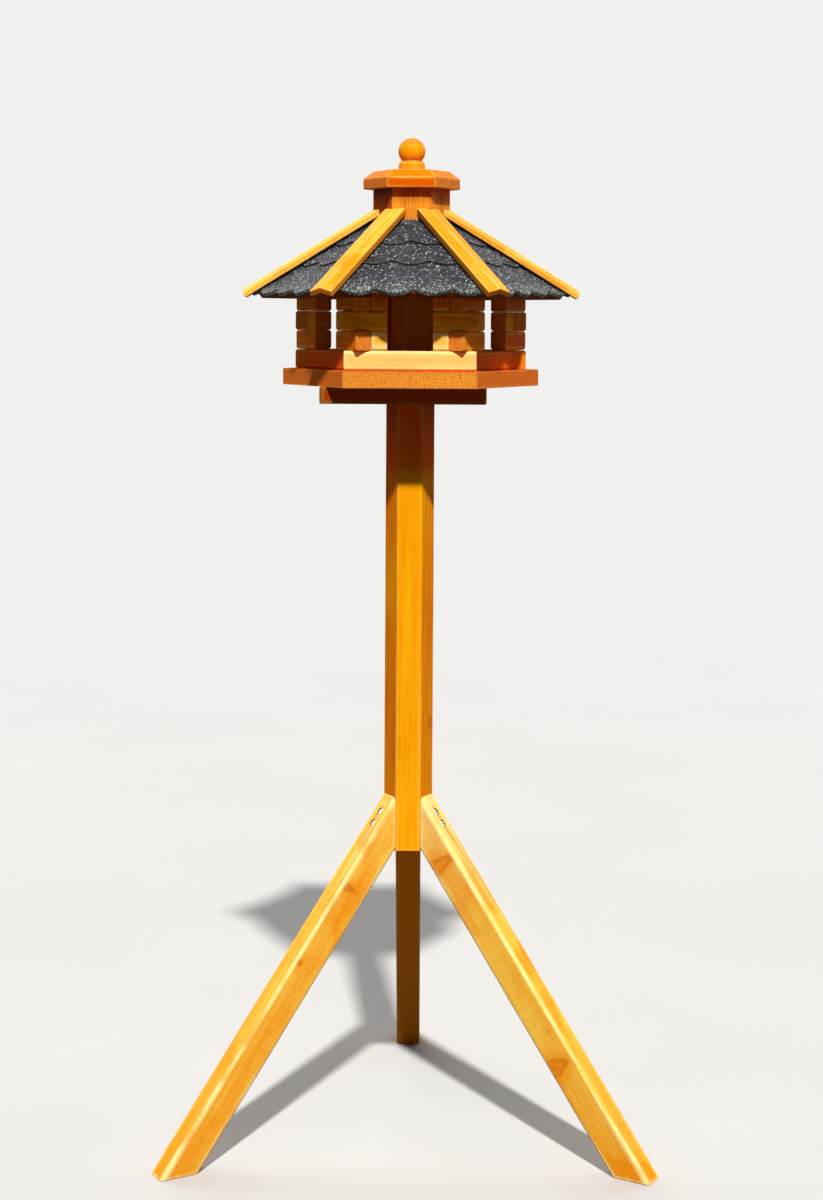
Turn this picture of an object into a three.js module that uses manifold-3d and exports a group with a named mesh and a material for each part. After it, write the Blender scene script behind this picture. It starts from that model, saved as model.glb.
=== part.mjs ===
// Six-sided bird table on a three-legged stand: a log-walled feeding house round a central
// feed silo, under a shingled roof with a lift-off cap. Millimetres, +Z up, the front faces -Y.
import * as THREE from "three";
import { mergeVertices } from "three/addons/utils/BufferGeometryUtils.js";
import Module from "manifold-3d";

const wasm = await Module();
wasm.setup();

// Driving dimensions

const SIDES = 6;
const seatGap = 0.3; // air left between pieces that lie on or against each other
const overrun = 8; // how far a cutting shape runs past what it cuts

const post = { acrossFlats: 63, top: 1092, tail: 2 }; // tail: what hangs below the legs' heels
const leg = { width: 38, depth: 47.5, reach: 408, rise: 505, edgeRadius: 5 };
const legScrew = {
  headDiameter: 8.5,
  headHeight: 3,
  shankDiameter: 4.5,
  length: 50,
  point: 6,
  sunk: 0.6,
  fromTip: 28,
  spacing: 20,
};
const plate = { side: 240, thickness: 24, cornerRadius: 5, offset: -10 };
const plateScrew = {
  headDiameter: 9,
  headHeight: 4,
  shankDiameter: 5,
  length: 70,
  point: 6,
  sunk: 0.6,
  fromAxis: 15,
};
const platform = { thickness: 24, ledge: 21.5 }; // ledge: what birds land on outside the walls
const wall = {
  apothem: 143,
  thickness: 24,
  logHeight: 28,
  overhang: 12,
  groove: 2.5,
  cornerCourses: 3,
  opening: 65,
};
const topRing = { outerHeight: 24 };
const silo = { cornerRadius: 57, wall: 12, neck: 42, slotHeight: 28, foot: 7.5 };
const roof = { pitchDegrees: 35.4, board: 9, boardOverhang: 54, eaveOverhang: 61 };
const shingle = {
  butt: 6,
  tail: 3,
  lobePitch: 52,
  lobeDepth: 11,
  eaveExposure: 71,
  middleExposure: 51.5,
  lap: 12,
  lobeSteps: 8,
  hipWidth: 12,
  hipRise: 2.2,
  eaveShift: 5,
};
const strip = { width: 36, thickness: 8, tail: 10.5, endTiltDegrees: 20 };
const cap = {
  overhang: 15,
  edge: 15,
  slopeHeight: 12,
  slopeInset: 13.5,
  plugDepth: 12,
  plugClearance: 1,
};
const knob = {
  ball: 40,
  height: 49,
  collar: 39,
  collarHeight: 15,
  collarRound: 4,
  tenon: 14,
  tenonDepth: 16,
  turns: 32,
  arcSteps: 5,
};

// Places worked out from the driving dimensions

const sideTurn = (2 * Math.PI) / SIDES;
const halfTurn = sideTurn / 2;
const acrossToCorner = 1 / Math.cos(halfTurn);
const screwSides = 12;
const cornerSteps = 2;
const weld = 1e-3; // vertices nearer than this are one
const roofPitch = THREE.MathUtils.degToRad(roof.pitchDegrees);
const hipPitch = Math.atan(Math.tan(roofPitch) * Math.cos(halfTurn));

const postApothem = post.acrossFlats / 2;
const legFace = postApothem + seatGap;
const lean = Math.atan((leg.reach - legFace) / leg.rise);
const postFoot = leg.rise - leg.depth / Math.sin(lean) - post.tail;

const plateFoot = post.top + seatGap;
const plateTop = plateFoot + plate.thickness;
const platformFoot = plateTop + seatGap;
const platformTop = platformFoot + platform.thickness;
const floor = platformTop + seatGap;
const courseRise = wall.logHeight + seatGap;
const ringFoot = floor + (wall.cornerCourses + 1) * courseRise;

const wallInner = wall.apothem - wall.thickness;
const wallCorner = wall.apothem * Math.tan(halfTurn);
const innerCorner = wallInner * Math.tan(halfTurn);
const siloApothem = silo.cornerRadius * Math.cos(halfTurn);

// The height, on the axis, of the plane that the roof boards' upper faces lie in.
const boardRise = roof.board / Math.cos(roofPitch);
const roofSeat = ringFoot + topRing.outerHeight + seatGap;
const boardPeak = roofSeat + wall.apothem * Math.tan(roofPitch) + boardRise;
const shinglePeak = boardPeak + seatGap / Math.cos(roofPitch);
const buttPeak = shinglePeak + shingle.butt / Math.cos(roofPitch);
const stripPeak = buttPeak + (shingle.hipRise + seatGap) / Math.cos(roofPitch);
const eaveApothem = wall.apothem + roof.eaveOverhang;
const siloTop = buttPeak - siloApothem * Math.tan(roofPitch) + silo.neck;
const capFoot = siloTop + seatGap;
const capTop = capFoot + cap.edge + cap.slopeHeight;

// Finishes

const finish = (color, roughness, metalness = 0) =>
  new THREE.MeshStandardMaterial({ color, roughness, metalness });
const amberPine = finish(0xc8701f, 0.5);
const honeyPine = finish(0xe2a04c, 0.5);
const redPine = finish(0x7c3514, 0.55);
const bitumen = finish(0x3a3d43, 0.95);
const zincedSteel = finish(0x8d8a84, 0.4, 1);

// Shape helpers

const outline = (points) => new THREE.Shape(points.map(([x, y]) => new THREE.Vector2(x, y)));

/** A regular hexagon with one side square to the Y axis. */
function hexagon(apothem) {
  const radius = apothem * acrossToCorner;
  const corner = (k) => [radius * Math.cos(k * sideTurn), radius * Math.sin(k * sideTurn)];
  return outline(Array.from({ length: SIDES }, (_, k) => corner(k)));
}

function roundedRectangle(width, depth, radius) {
  const shape = new THREE.Shape();
  const [x, y] = [width / 2 - radius, depth / 2 - radius];
  shape.absarc(x, y, radius, 0, Math.PI / 2);
  shape.absarc(-x, y, radius, Math.PI / 2, Math.PI);
  shape.absarc(-x, -y, radius, Math.PI, 1.5 * Math.PI);
  shape.absarc(x, -y, radius, 1.5 * Math.PI, 2 * Math.PI);
  return shape;
}

/** An outline in XY, extruded along Z between two ends that may each be cut at a slant. */
function bar(shape, from, to) {
  const geometry = new THREE.ExtrudeGeometry(shape, {
    depth: 1,
    bevelEnabled: false,
    curveSegments: cornerSteps,
  });
  const place = geometry.getAttribute("position");
  for (let i = 0; i < place.count; i++) {
    const end = place.getZ(i) > 0 ? to : from;
    place.setZ(i, typeof end === "number" ? end : end(place.getX(i), place.getY(i)));
  }
  return geometry;
}

/** A profile of [radius, height] pairs turned about Z, with a corner on each side's edge. */
function turned(profile, steps, start = 0) {
  const points = profile.map(([radius, height]) => new THREE.Vector2(radius, height));
  return new THREE.LatheGeometry(points, steps, start).rotateX(Math.PI / 2);
}

function solid(geometry) {
  const bare = geometry.index ? geometry.toNonIndexed() : geometry.clone();
  bare.deleteAttribute("normal");
  bare.deleteAttribute("uv");
  const merged = mergeVertices(bare, weld);
  return new wasm.Manifold(
    new wasm.Mesh({
      numProp: 3,
      vertProperties: merged.getAttribute("position").array,
      triVerts: new Uint32Array(merged.index.array),
    }),
  );
}

function surface(manifold) {
  const { numProp, vertProperties, triVerts } = manifold.getMesh();
  const places = new Float32Array((vertProperties.length / numProp) * 3);
  for (let i = 0; i < places.length / 3; i++)
    places.set(vertProperties.subarray(i * numProp, i * numProp + 3), i * 3);
  const geometry = new THREE.BufferGeometry();
  geometry.setAttribute("position", new THREE.BufferAttribute(places, 3));
  geometry.setIndex(new THREE.BufferAttribute(triVerts, 1));
  const faceted = geometry.toNonIndexed();
  faceted.computeVertexNormals();
  return faceted;
}

const cut = (geometry, ...cutters) =>
  surface(cutters.reduce((rest, cutter) => rest.subtract(solid(cutter)), solid(geometry)));
const join = (...pieces) =>
  surface(pieces.map(solid).reduce((whole, piece) => whole.add(piece)));
const common = (a, b) => surface(solid(a).intersect(solid(b)));

function named(name, geometry, material, parent) {
  const mesh = new THREE.Mesh(geometry, material);
  mesh.name = name;
  parent.add(mesh);
  return mesh;
}

/** A group turned about the post's axis, added to the whole. */
function turnedGroup(parent, turn) {
  const group = new THREE.Group();
  group.rotation.z = turn;
  parent.add(group);
  return group;
}

const table = new THREE.Group();

// Sides run anticlockwise from the front, and corner k lies between side k and side k + 1.
const sideNames = ["front", "front_right", "back_right", "back", "back_left", "front_left"];
const cornerNames = ["front_right", "right", "back_right", "back_left", "left", "front_left"];

// Screws

/** A countersunk screw along -Y with its head's face at the origin, grown all over by play. */
function screwShape({ headDiameter, headHeight, shankDiameter, length, point }, play = 0) {
  const head = headDiameter / 2 + play;
  const shank = shankDiameter / 2 + play;
  const points = [
    [0, -length - play],
    [shank, point - length - play],
    [shank, -headHeight - play],
    [head, 0],
  ];
  if (play) points.push([head, overrun]);
  points.push([0, play ? overrun : 0]);
  const profile = points.map(([radius, height]) => new THREE.Vector2(radius, height));
  return new THREE.LatheGeometry(profile, screwSides);
}

const legScrewPlaces = [
  ["upper", legScrew.fromTip],
  ["lower", legScrew.fromTip + legScrew.spacing],
];
const plateScrewPlaces = [
  ["left", -plateScrew.fromAxis],
  ["right", plateScrew.fromAxis],
];
const upright = (geometry) => geometry.rotateX(Math.PI / 2);

// Stand

// A leg's own frame: the origin on the tip at the post, X across, Y out of the outer face, Z down it.
const legFrame = new THREE.Matrix4()
  .makeTranslation(0, -legFace, leg.rise)
  .multiply(new THREE.Matrix4().makeRotationX(Math.PI - lean));
const legTurns = [
  ["left", -sideTurn],
  ["right", sideTurn],
  ["rear", 3 * sideTurn],
];

const legScrewHoles = () =>
  legScrewPlaces.map(([, along]) =>
    screwShape(legScrew, seatGap).translate(0, -legScrew.sunk, along),
  );

function makePost() {
  const blank = bar(hexagon(postApothem), postFoot, post.top);
  const holes = legTurns.flatMap(([, turn]) =>
    legScrewHoles().map((hole) => hole.applyMatrix4(legFrame).rotateZ(turn)),
  );
  const tops = plateScrewPlaces.map(([, x]) =>
    upright(screwShape(plateScrew, seatGap)).translate(x, 0, plateTop - plateScrew.sunk),
  );
  named("post", cut(blank, ...holes, ...tops), amberPine, table);
}

function makeLegs() {
  const section = roundedRectangle(leg.width, leg.depth, leg.edgeRadius);
  const blank = bar(
    section,
    (x, y) => (leg.depth / 2 - y) / Math.tan(lean),
    (x, y) => (leg.rise - (leg.depth / 2 - y) * Math.sin(lean)) / Math.cos(lean),
  ).translate(0, -leg.depth / 2, 0);
  const drilled = cut(blank, ...legScrewHoles());
  for (const [name, turn] of legTurns) {
    const side = turnedGroup(table, turn);
    const frame = new THREE.Group();
    frame.applyMatrix4(legFrame);
    side.add(frame);
    named(`leg_${name}`, drilled, honeyPine, frame);
    for (const [level, along] of legScrewPlaces) {
      const screw = screwShape(legScrew);
      const mesh = named(`leg_${name}_screw_${level}`, screw, zincedSteel, frame);
      mesh.position.set(0, -legScrew.sunk, along);
    }
  }
}

// House floor

function makeMountingPlate() {
  const { side, cornerRadius, offset } = plate;
  const blank = bar(roundedRectangle(side, side, cornerRadius), plateFoot, plateTop);
  const holes = plateScrewPlaces.map(([, x]) =>
    upright(screwShape(plateScrew, seatGap)).translate(x, 0, plateTop - plateScrew.sunk),
  );
  named("mounting_plate", cut(blank.translate(offset, 0, 0), ...holes), amberPine, table);
  for (const [name, x] of plateScrewPlaces) {
    const screw = upright(screwShape(plateScrew));
    const mesh = named(`plate_screw_${name}`, screw, zincedSteel, table);
    mesh.position.set(x, 0, plateTop - plateScrew.sunk);
  }
}

function makePlatform() {
  const board = bar(hexagon(wall.apothem + platform.ledge), platformFoot, platformTop);
  named("platform", board, amberPine, table);
}

// Log walls

/** A log's section, from the wall's outer face in, with a groove's half along each long edge. */
function logSection() {
  const [low, high] = [0, wall.logHeight];
  const [outer, inner] = [-wall.apothem, -wallInner];
  const ease = wall.groove;
  return outline([
    [outer, low + ease],
    [outer + ease, low],
    [inner - ease, low],
    [inner, low + ease],
    [inner, high - ease],
    [inner - ease, high],
    [outer + ease, high],
    [outer, high - ease],
  ]);
}

/** A log of the front side, from one X to another. */
function log(from, to) {
  const alongX = new THREE.Matrix4().makeBasis(
    new THREE.Vector3(0, 1, 0),
    new THREE.Vector3(0, 0, 1),
    new THREE.Vector3(1, 0, 0),
  );
  return bar(logSection(), from, to).applyMatrix4(alongX);
}

const longEnd = wallCorner + wall.overhang;
const shortReach = seatGap * acrossToCorner * 2;
// A short log's end runs into the long log beside it: its X at a given place across the wall.
const shortEnd = (y) =>
  innerCorner + shortReach + ((y + wallInner) * (wallCorner - innerCorner)) / wall.thickness / 2;

/** The space that the front side's long log fills, grown by the gap that its neighbours keep. */
function longLogSpace() {
  const length = 2 * (longEnd + seatGap);
  const depth = wall.thickness + 2 * seatGap;
  const height = wall.logHeight + 2 * overrun;
  const box = new THREE.BoxGeometry(length, depth, height);
  return box.translate(0, -wall.apothem + wall.thickness / 2, wall.logHeight / 2);
}

function makeRails() {
  const long = log(-longEnd, longEnd);
  const short = cut(
    log((y) => -shortEnd(y), shortEnd),
    longLogSpace().rotateZ(-sideTurn),
    longLogSpace().rotateZ(sideTurn),
  );
  sideNames.forEach((name, k) => {
    const side = turnedGroup(table, k * sideTurn);
    const rail = named(`rail_${name}`, k % 2 ? short : long, honeyPine, side);
    rail.position.z = floor;
  });
}

/** A course of one corner: the long log that runs past it, and the short one that butts on it. */
function cornerCourse(longIsFirst) {
  const edge = wall.opening / 2;
  const first = longIsFirst ? log(edge, longEnd) : log(edge, shortEnd);
  const second = longIsFirst ? log((y) => -shortEnd(y), -edge) : log(-longEnd, -edge);
  return join(first, second.rotateZ(sideTurn));
}

function makeCorners() {
  const courses = [cornerCourse(false), cornerCourse(true)];
  cornerNames.forEach((name, k) => {
    const corner = turnedGroup(table, k * sideTurn);
    for (let course = 1; course <= wall.cornerCourses; course++) {
      const shape = courses[(k + course + 1) % 2];
      const block = named(`corner_${name}_course_${course}`, shape, amberPine, corner);
      block.position.z = floor + course * courseRise;
    }
  });
}

/** The ring of top logs, ripped to the roof's slope. */
function makeTopRing() {
  const [outer, inner] = [wall.apothem * acrossToCorner, wallInner * acrossToCorner];
  const innerHeight = topRing.outerHeight + wall.thickness * Math.tan(roofPitch);
  const profile = [
    [inner, 0],
    [outer, 0],
    [outer, topRing.outerHeight],
    [inner, innerHeight],
    [inner, 0],
  ];
  const ring = named("top_ring", turned(profile, SIDES, halfTurn), amberPine, table);
  ring.position.z = ringFoot;
}

// Feed silo

function makeSilo() {
  const section = hexagon(siloApothem);
  section.holes.push(hexagon(siloApothem - silo.wall));
  const slotWidth = silo.cornerRadius - 2 * silo.foot;
  const slot = (turn) =>
    new THREE.BoxGeometry(slotWidth, 2 * (siloApothem + overrun), silo.slotHeight + overrun)
      .translate(0, 0, floor + (silo.slotHeight - overrun) / 2)
      .rotateZ(turn);
  const slots = [0, sideTurn, -sideTurn].map(slot);
  named("silo", cut(bar(section, floor, siloTop), ...slots), redPine, table);
}

// Roof

/** The upright wedge of one side, from the silo out, between its two neighbours. */
function sideWedge() {
  const near = siloApothem + seatGap;
  const far = eaveApothem + overrun;
  const halfWidth = (y) => y * Math.tan(halfTurn) - (seatGap / 2) * acrossToCorner;
  const plan = outline([
    [-halfWidth(near), -near],
    [-halfWidth(far), -far],
    [halfWidth(far), -far],
    [halfWidth(near), -near],
  ]);
  return bar(plan, floor, stripPeak);
}

const downSlope = (apothem) => apothem / Math.cos(roofPitch);
const panelHalf = wallCorner + roof.eaveOverhang;
const ontoRoof = (geometry, peak) => geometry.rotateX(roofPitch).translate(0, 0, peak);

function makeRoofBoards() {
  const eave = downSlope(wall.apothem + roof.boardOverhang);
  const blank = outline([
    [-panelHalf, -eave],
    [panelHalf, -eave],
    [panelHalf, 0],
    [-panelHalf, 0],
  ]);
  const board = common(ontoRoof(bar(blank, -roof.board, 0), boardPeak), sideWedge());
  sideNames.forEach((name, k) =>
    named(`roof_board_${name}`, board, redPine, turnedGroup(table, k * sideTurn)),
  );
}

/** A course of shingles: lobes along its lower edge, thick there and thinner up the slope. */
function shingleCourse(lobeFoot, head, shift) {
  const step = shingle.lobePitch / shingle.lobeSteps;
  const steps = Math.ceil(panelHalf / step);
  const points = [];
  for (let i = -steps; i <= steps; i++) {
    const rise = 1 - Math.abs(Math.sin((Math.PI * (i * step - shift)) / shingle.lobePitch));
    points.push([i * step, -lobeFoot + rise * shingle.lobeDepth]);
  }
  points.push([steps * step, -head], [-steps * step, -head]);
  const thin = (x, y) =>
    shingle.butt - ((shingle.butt - shingle.tail) * (y + lobeFoot)) / (lobeFoot - head);
  return ontoRoof(bar(outline(points), 0, thin), shinglePeak);
}

/** The doubled felt along one hip, which lifts the hip strip clear of the courses. */
function hipFelt(side) {
  const eave = downSlope(wall.apothem + roof.boardOverhang);
  const hip = (slope) => slope * Math.cos(roofPitch) * Math.tan(halfTurn);
  const blank = outline([
    [side * (hip(eave) - shingle.hipWidth), -eave],
    [side * (hip(eave) + overrun), -eave],
    [side * overrun, 0],
    [side * -shingle.hipWidth, 0],
  ]);
  return ontoRoof(bar(blank, 0, shingle.butt + shingle.hipRise), shinglePeak);
}

function makeShingles() {
  const eaveLine = downSlope(eaveApothem);
  const middleLine = eaveLine - shingle.eaveExposure;
  const upperLine = middleLine - shingle.middleExposure;
  const courses = join(
    shingleCourse(eaveLine, middleLine - shingle.lap, shingle.eaveShift),
    shingleCourse(middleLine, upperLine - shingle.lap, shingle.lobePitch / 2),
    shingleCourse(upperLine, 0, 0),
    hipFelt(-1),
    hipFelt(1),
  );
  const panel = common(courses, sideWedge());
  sideNames.forEach((name, k) =>
    named(`shingles_${name}`, panel, bitumen, turnedGroup(table, k * sideTurn)),
  );
}

/** A hip strip: a shallow angle moulding along the hip, notched round the silo's corner. */
function makeHipStrips() {
  const across = Math.sin(roofPitch) * Math.sin(halfTurn);
  const up =
    Math.sin(roofPitch) * Math.cos(halfTurn) * Math.sin(hipPitch) +
    Math.cos(roofPitch) * Math.cos(hipPitch);
  const half = strip.width / 2;
  const fall = (half * across) / up;
  const section = outline([
    [-half, -fall],
    [0, 0],
    [half, -fall],
    [half, strip.thickness - fall],
    [0, strip.thickness],
    [-half, strip.thickness - fall],
  ]);
  const tip = (eaveApothem * acrossToCorner + strip.tail) / Math.cos(hipPitch);
  const tilt = Math.tan(THREE.MathUtils.degToRad(strip.endTiltDegrees) - hipPitch);
  const blank = bar(section, 0, (x, y) => tip + (y - strip.thickness) * tilt);
  const neck = bar(hexagon(siloApothem + seatGap), floor, siloTop + overrun).rotateZ(halfTurn);
  const laid = upright(blank).rotateX(hipPitch).translate(0, 0, stripPeak);
  const shape = cut(laid, neck);
  cornerNames.forEach((name, k) =>
    named(`hip_strip_${name}`, shape, honeyPine, turnedGroup(table, k * sideTurn + halfTurn)),
  );
}

// Cap and knob

function makeCap() {
  const plug = silo.cornerRadius - silo.wall * acrossToCorner - cap.plugClearance;
  const edge = silo.cornerRadius + cap.overhang;
  const top = cap.edge + cap.slopeHeight;
  const profile = [
    [0, -cap.plugDepth],
    [plug, -cap.plugDepth],
    [plug, 0],
    [edge, 0],
    [edge, cap.edge],
    [edge - cap.slopeInset * acrossToCorner, top],
    [0, top],
  ];
  const hole = upright(
    new THREE.CylinderGeometry(
      knob.tenon / 2 + seatGap,
      knob.tenon / 2 + seatGap,
      2 * (knob.tenonDepth + seatGap),
      knob.turns,
    ),
  ).translate(0, 0, top);
  const lid = named("cap", cut(turned(profile, SIDES, halfTurn), hole), amberPine, table);
  lid.position.z = capFoot;
}

function makeKnob() {
  const ball = knob.ball / 2;
  const centre = knob.height - ball;
  const sunk = centre - knob.collarHeight;
  const outer = knob.collar / 2;
  const shape = new THREE.Path();
  shape.moveTo(0, -knob.tenonDepth);
  shape.lineTo(knob.tenon / 2, -knob.tenonDepth);
  shape.lineTo(knob.tenon / 2, 0);
  shape.lineTo(outer, 0);
  shape.absarc(
    outer - knob.collarRound,
    knob.collarHeight - knob.collarRound,
    knob.collarRound,
    0,
    Math.PI / 2,
  );
  shape.absarc(0, centre, ball, -Math.asin(sunk / ball), Math.PI / 2);
  const points = shape.getPoints(knob.arcSteps).slice(0, -1);
  const profile = points.map((point) => [point.x, point.y]).concat([[0, knob.height]]);
  const head = named("knob", turned(profile, knob.turns), amberPine, table);
  head.position.z = capTop + seatGap;
}

makePost();
makeLegs();
makeMountingPlate();
makePlatform();
makeRails();
makeCorners();
makeTopRing();
makeSilo();
makeRoofBoards();
makeShingles();
makeHipStrips();
makeCap();
makeKnob();

// The origin lies on the ground, under the middle of the whole.
const middle = new THREE.Box3().setFromObject(table, true).getCenter(new THREE.Vector3());
table.position.set(-middle.x, -middle.y, 0);

export default table;
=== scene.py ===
"""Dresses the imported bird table: finer timber, felt and steel around the fixed frame, in metres, +Z up."""

import math
import random

import bmesh
import bpy
from mathutils import Matrix, Vector, noise


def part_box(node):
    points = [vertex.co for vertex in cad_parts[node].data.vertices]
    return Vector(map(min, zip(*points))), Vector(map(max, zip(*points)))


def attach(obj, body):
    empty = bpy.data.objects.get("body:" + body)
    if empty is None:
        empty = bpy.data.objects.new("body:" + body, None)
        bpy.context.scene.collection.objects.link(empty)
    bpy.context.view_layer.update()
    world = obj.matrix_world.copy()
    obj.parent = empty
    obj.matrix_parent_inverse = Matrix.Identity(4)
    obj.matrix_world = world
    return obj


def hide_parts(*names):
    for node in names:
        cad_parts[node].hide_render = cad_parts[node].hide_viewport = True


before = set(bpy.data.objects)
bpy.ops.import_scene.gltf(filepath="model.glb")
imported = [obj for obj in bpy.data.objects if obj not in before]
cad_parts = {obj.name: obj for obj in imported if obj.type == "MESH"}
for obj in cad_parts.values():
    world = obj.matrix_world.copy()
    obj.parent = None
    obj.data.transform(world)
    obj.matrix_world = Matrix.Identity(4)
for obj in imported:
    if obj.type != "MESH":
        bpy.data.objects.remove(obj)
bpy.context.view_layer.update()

bl_info = {
    "name": "Bird table",
    "version": (1, 0, 0),
    "blender": (4, 5, 0),
    "location": "View3D > Sidebar > Bird Table",
    "description": "Dresses a six-sided bird table on a three-legged stand",
    "category": "Object",
}

# Shared shape of the table

SIDES = 6
SIDE_TURN = 2 * math.pi / SIDES
HALF_TURN = SIDE_TURN / 2
TO_CORNER = 1 / math.cos(HALF_TURN)
SIDE_NAMES = ("front", "front_right", "back_right", "back", "back_left", "front_left")
CORNER_NAMES = ("front_right", "right", "back_right", "back_left", "left", "front_left")
COURSES = 3
MM = 0.001

# A log is drawn upright along Z, then laid along X
ALONG_X = Matrix(((0, 0, 1, 0), (1, 0, 0, 0), (0, 1, 0, 0), (0, 0, 0, 1)))


def middle(node):
    low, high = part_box(node)
    return (low + high) / 2


def size(node):
    low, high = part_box(node)
    return high - low


def slope_of(node):
    """The pitch of a sloped board, from the normal of its largest face."""
    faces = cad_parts[node].data.polygons
    normal = max(faces, key=lambda face: face.area).normal
    return math.acos(min(1.0, abs(normal.z) / normal.length))


AXIS = Vector((middle("silo").x, middle("silo").y, 0))
ROOF_PITCH = slope_of("roof_board_front")
HIP_PITCH = math.atan(math.tan(ROOF_PITCH) * math.cos(HALF_TURN))
WALL_OUTER = AXIS.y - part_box("rail_front")[0].y
WALL_INNER = AXIS.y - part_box("rail_front")[1].y
LOG_HEIGHT = size("rail_front").z
LONG_END = size("rail_front").x / 2
WINDOW_EDGE = -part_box("corner_front_left_course_1")[1].x
SILO_RADIUS = size("silo").x / 2
SILO_APOTHEM = SILO_RADIUS * math.cos(HALF_TURN)


def pitch_height(apothem):
    return apothem * math.tan(ROOF_PITCH)


# What a user may change


def length(name, default, description):
    return bpy.props.FloatProperty(
        name=name, description=description, default=default, min=0, unit="LENGTH", precision=4
    )


def share(name, default, description):
    return bpy.props.FloatProperty(
        name=name, description=description, default=default, min=0, max=1, subtype="FACTOR"
    )


WHITE = 255
GAMMA = 2.2


def on_screen(red, green, blue):
    """A colour as a screen shows it, 0 to 255, in Blender's linear numbers."""
    return [(part / WHITE) ** GAMMA for part in (red, green, blue)] + [1.0]


def colour(name, screen, description):
    return bpy.props.FloatVectorProperty(
        name=name, description=description, default=on_screen(*screen), size=4, subtype="COLOR",
        min=0, max=1,
    )


class StandSizes(bpy.types.PropertyGroup):
    """Sizes of the post, the legs and the boards on the post"""

    seat_gap: length("Seat gap", 0.3 * MM, "Air left between pieces that lie on each other")
    edge: length("Eased edge", 1.6 * MM, "Rounding of a sawn timber's edges")
    # The worn band also carries the painted edge highlight
    wear_and_highlight_band: length("Worn band", 4 * MM, "How far wear runs in from an edge")
    leg_depth: length("Leg depth", 47.5 * MM, "Depth of a leg's section")
    leg_edge: length("Leg edge", 5 * MM, "Rounding of a leg's long edges")
    from_tip: length("Screw from tip", 28 * MM, "First screw's distance from the leg's tip")
    spacing: length("Screw spacing", 20 * MM, "Distance between a leg's two screws")
    screw_head: length("Screw head", 8.5 * MM, "Diameter of a leg screw's head")
    screw_length: length("Screw length", 50 * MM, "Length of a leg screw")
    sunk: length("Screw sunk", 1.2 * MM, "How far a screw's head lies below the wood")
    hole_room: length("Hole room", 1.1 * MM, "Wood broken away round a screw's head")
    plate_corner: length("Plate corner", 5 * MM, "Rounding of the mounting plate's corners")
    lamella: length("Lamella", 95 * MM, "Width of the boards that the platform is glued from")


class HouseSizes(bpy.types.PropertyGroup):
    """Sizes of the log walls and the feed silo"""

    groove: length("Log groove", 2.5 * MM, "Chamfer along a log's long edges")
    silo_wall: length("Silo wall", 12 * MM, "Thickness of the silo's staves")
    slot_height: length("Slot height", 28 * MM, "Height of the feed slots")
    silo_foot: length("Silo foot", 7.5 * MM, "Width left beside a feed slot")
    ring_height: length("Ring height", 24 * MM, "Height of the top ring's outer face")
    glue_line: share("Glue line", 0.36, "Place of the glue line across a stave")


class RoofSizes(bpy.types.PropertyGroup):
    """Sizes of the roof boards, the felt, the hip strips and the cap"""

    board: length("Roof board", 9 * MM, "Thickness of the roof boards")
    board_overhang: length("Board overhang", 54 * MM, "How far the boards run past the walls")
    eave_overhang: length("Eave overhang", 61 * MM, "How far the felt runs past the walls")
    butt: length("Felt butt", 6 * MM, "Height of a felt course at its lobes")
    tail: length("Felt tail", 3 * MM, "Height of a felt course at its upper edge")
    lobe_pitch: length("Lobe pitch", 52 * MM, "Width of one lobe")
    lobe_depth: length("Lobe depth", 11 * MM, "How deep the notches between lobes are")
    eave_exposure: length("Eave exposure", 71 * MM, "What shows of the eave's course")
    middle_exposure: length("Middle exposure", 51.5 * MM, "What shows of the middle course")
    lap: length("Lap", 12 * MM, "How far a course runs under the next")
    eave_shift: length("Eave shift", 5 * MM, "Sideways place of the eave's lobes")
    hip_width: length("Hip felt width", 12 * MM, "Width of the doubled felt beside a hip")
    hip_rise: length("Hip felt rise", 2.2 * MM, "How far the doubled felt stands over a course")
    strip_width: length("Strip width", 36 * MM, "Width of a hip strip")
    strip_thickness: length("Strip thickness", 8 * MM, "Thickness of a hip strip")
    strip_tail: length("Strip tail", 10.5 * MM, "How far a strip runs past the eave's corner")
    cap_edge: length("Cap edge", 15 * MM, "Height of the cap's upright edge")
    cap_inset: length("Cap inset", 13.5 * MM, "How far the cap's chamfer runs in")
    cap_plug: length("Cap plug", 12 * MM, "Depth of the plug under the cap")
    plug_clearance: length("Plug clearance", 1 * MM, "Room round the plug in the silo")
    ball: length("Ball", 40 * MM, "Diameter of the knob's ball")
    collar_height: length("Collar height", 15 * MM, "Height of the collar under the ball")
    collar_round: length("Collar rounding", 6 * MM, "Rounding of the collar's upper edge")
    tenon: length("Tenon", 14 * MM, "Diameter of the knob's tenon")
    tenon_depth: length("Tenon depth", 16 * MM, "Depth of the knob's tenon")


class Finishes(bpy.types.PropertyGroup):
    """Colours of the stained pine, the felt and the stage"""

    amber_early: colour("Amber early wood", (253, 174, 18), "Light wood between the rings")
    amber_late: colour("Amber late wood", (226, 94, 10), "Dark wood of the rings")
    honey_early: colour("Honey early wood", (253, 208, 84), "Light wood between the rings")
    honey_late: colour("Honey late wood", (244, 146, 24), "Dark wood of the rings")
    red_early: colour("Red early wood", (248, 160, 46), "Light wood between the rings")
    red_late: colour("Red late wood", (168, 56, 10), "Dark wood of the rings")
    felt_dark: colour("Felt", (22, 24, 34), "Slate granules")
    felt_light: colour("Felt specks", (200, 208, 220), "Pale granules")
    background: colour("Background", (240, 240, 238), "What the camera sees past the floor")


# Solid shapes


def new_shape():
    """An empty mesh with the layers that the timber's finish reads."""
    shape = bmesh.new()
    shape.verts.layers.float_vector.new("timber")
    for name in ("edge", "end_grain", "tone"):
        shape.verts.layers.float.new(name)
    shape.loops.layers.float_vector.new("knot")
    return shape


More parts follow.
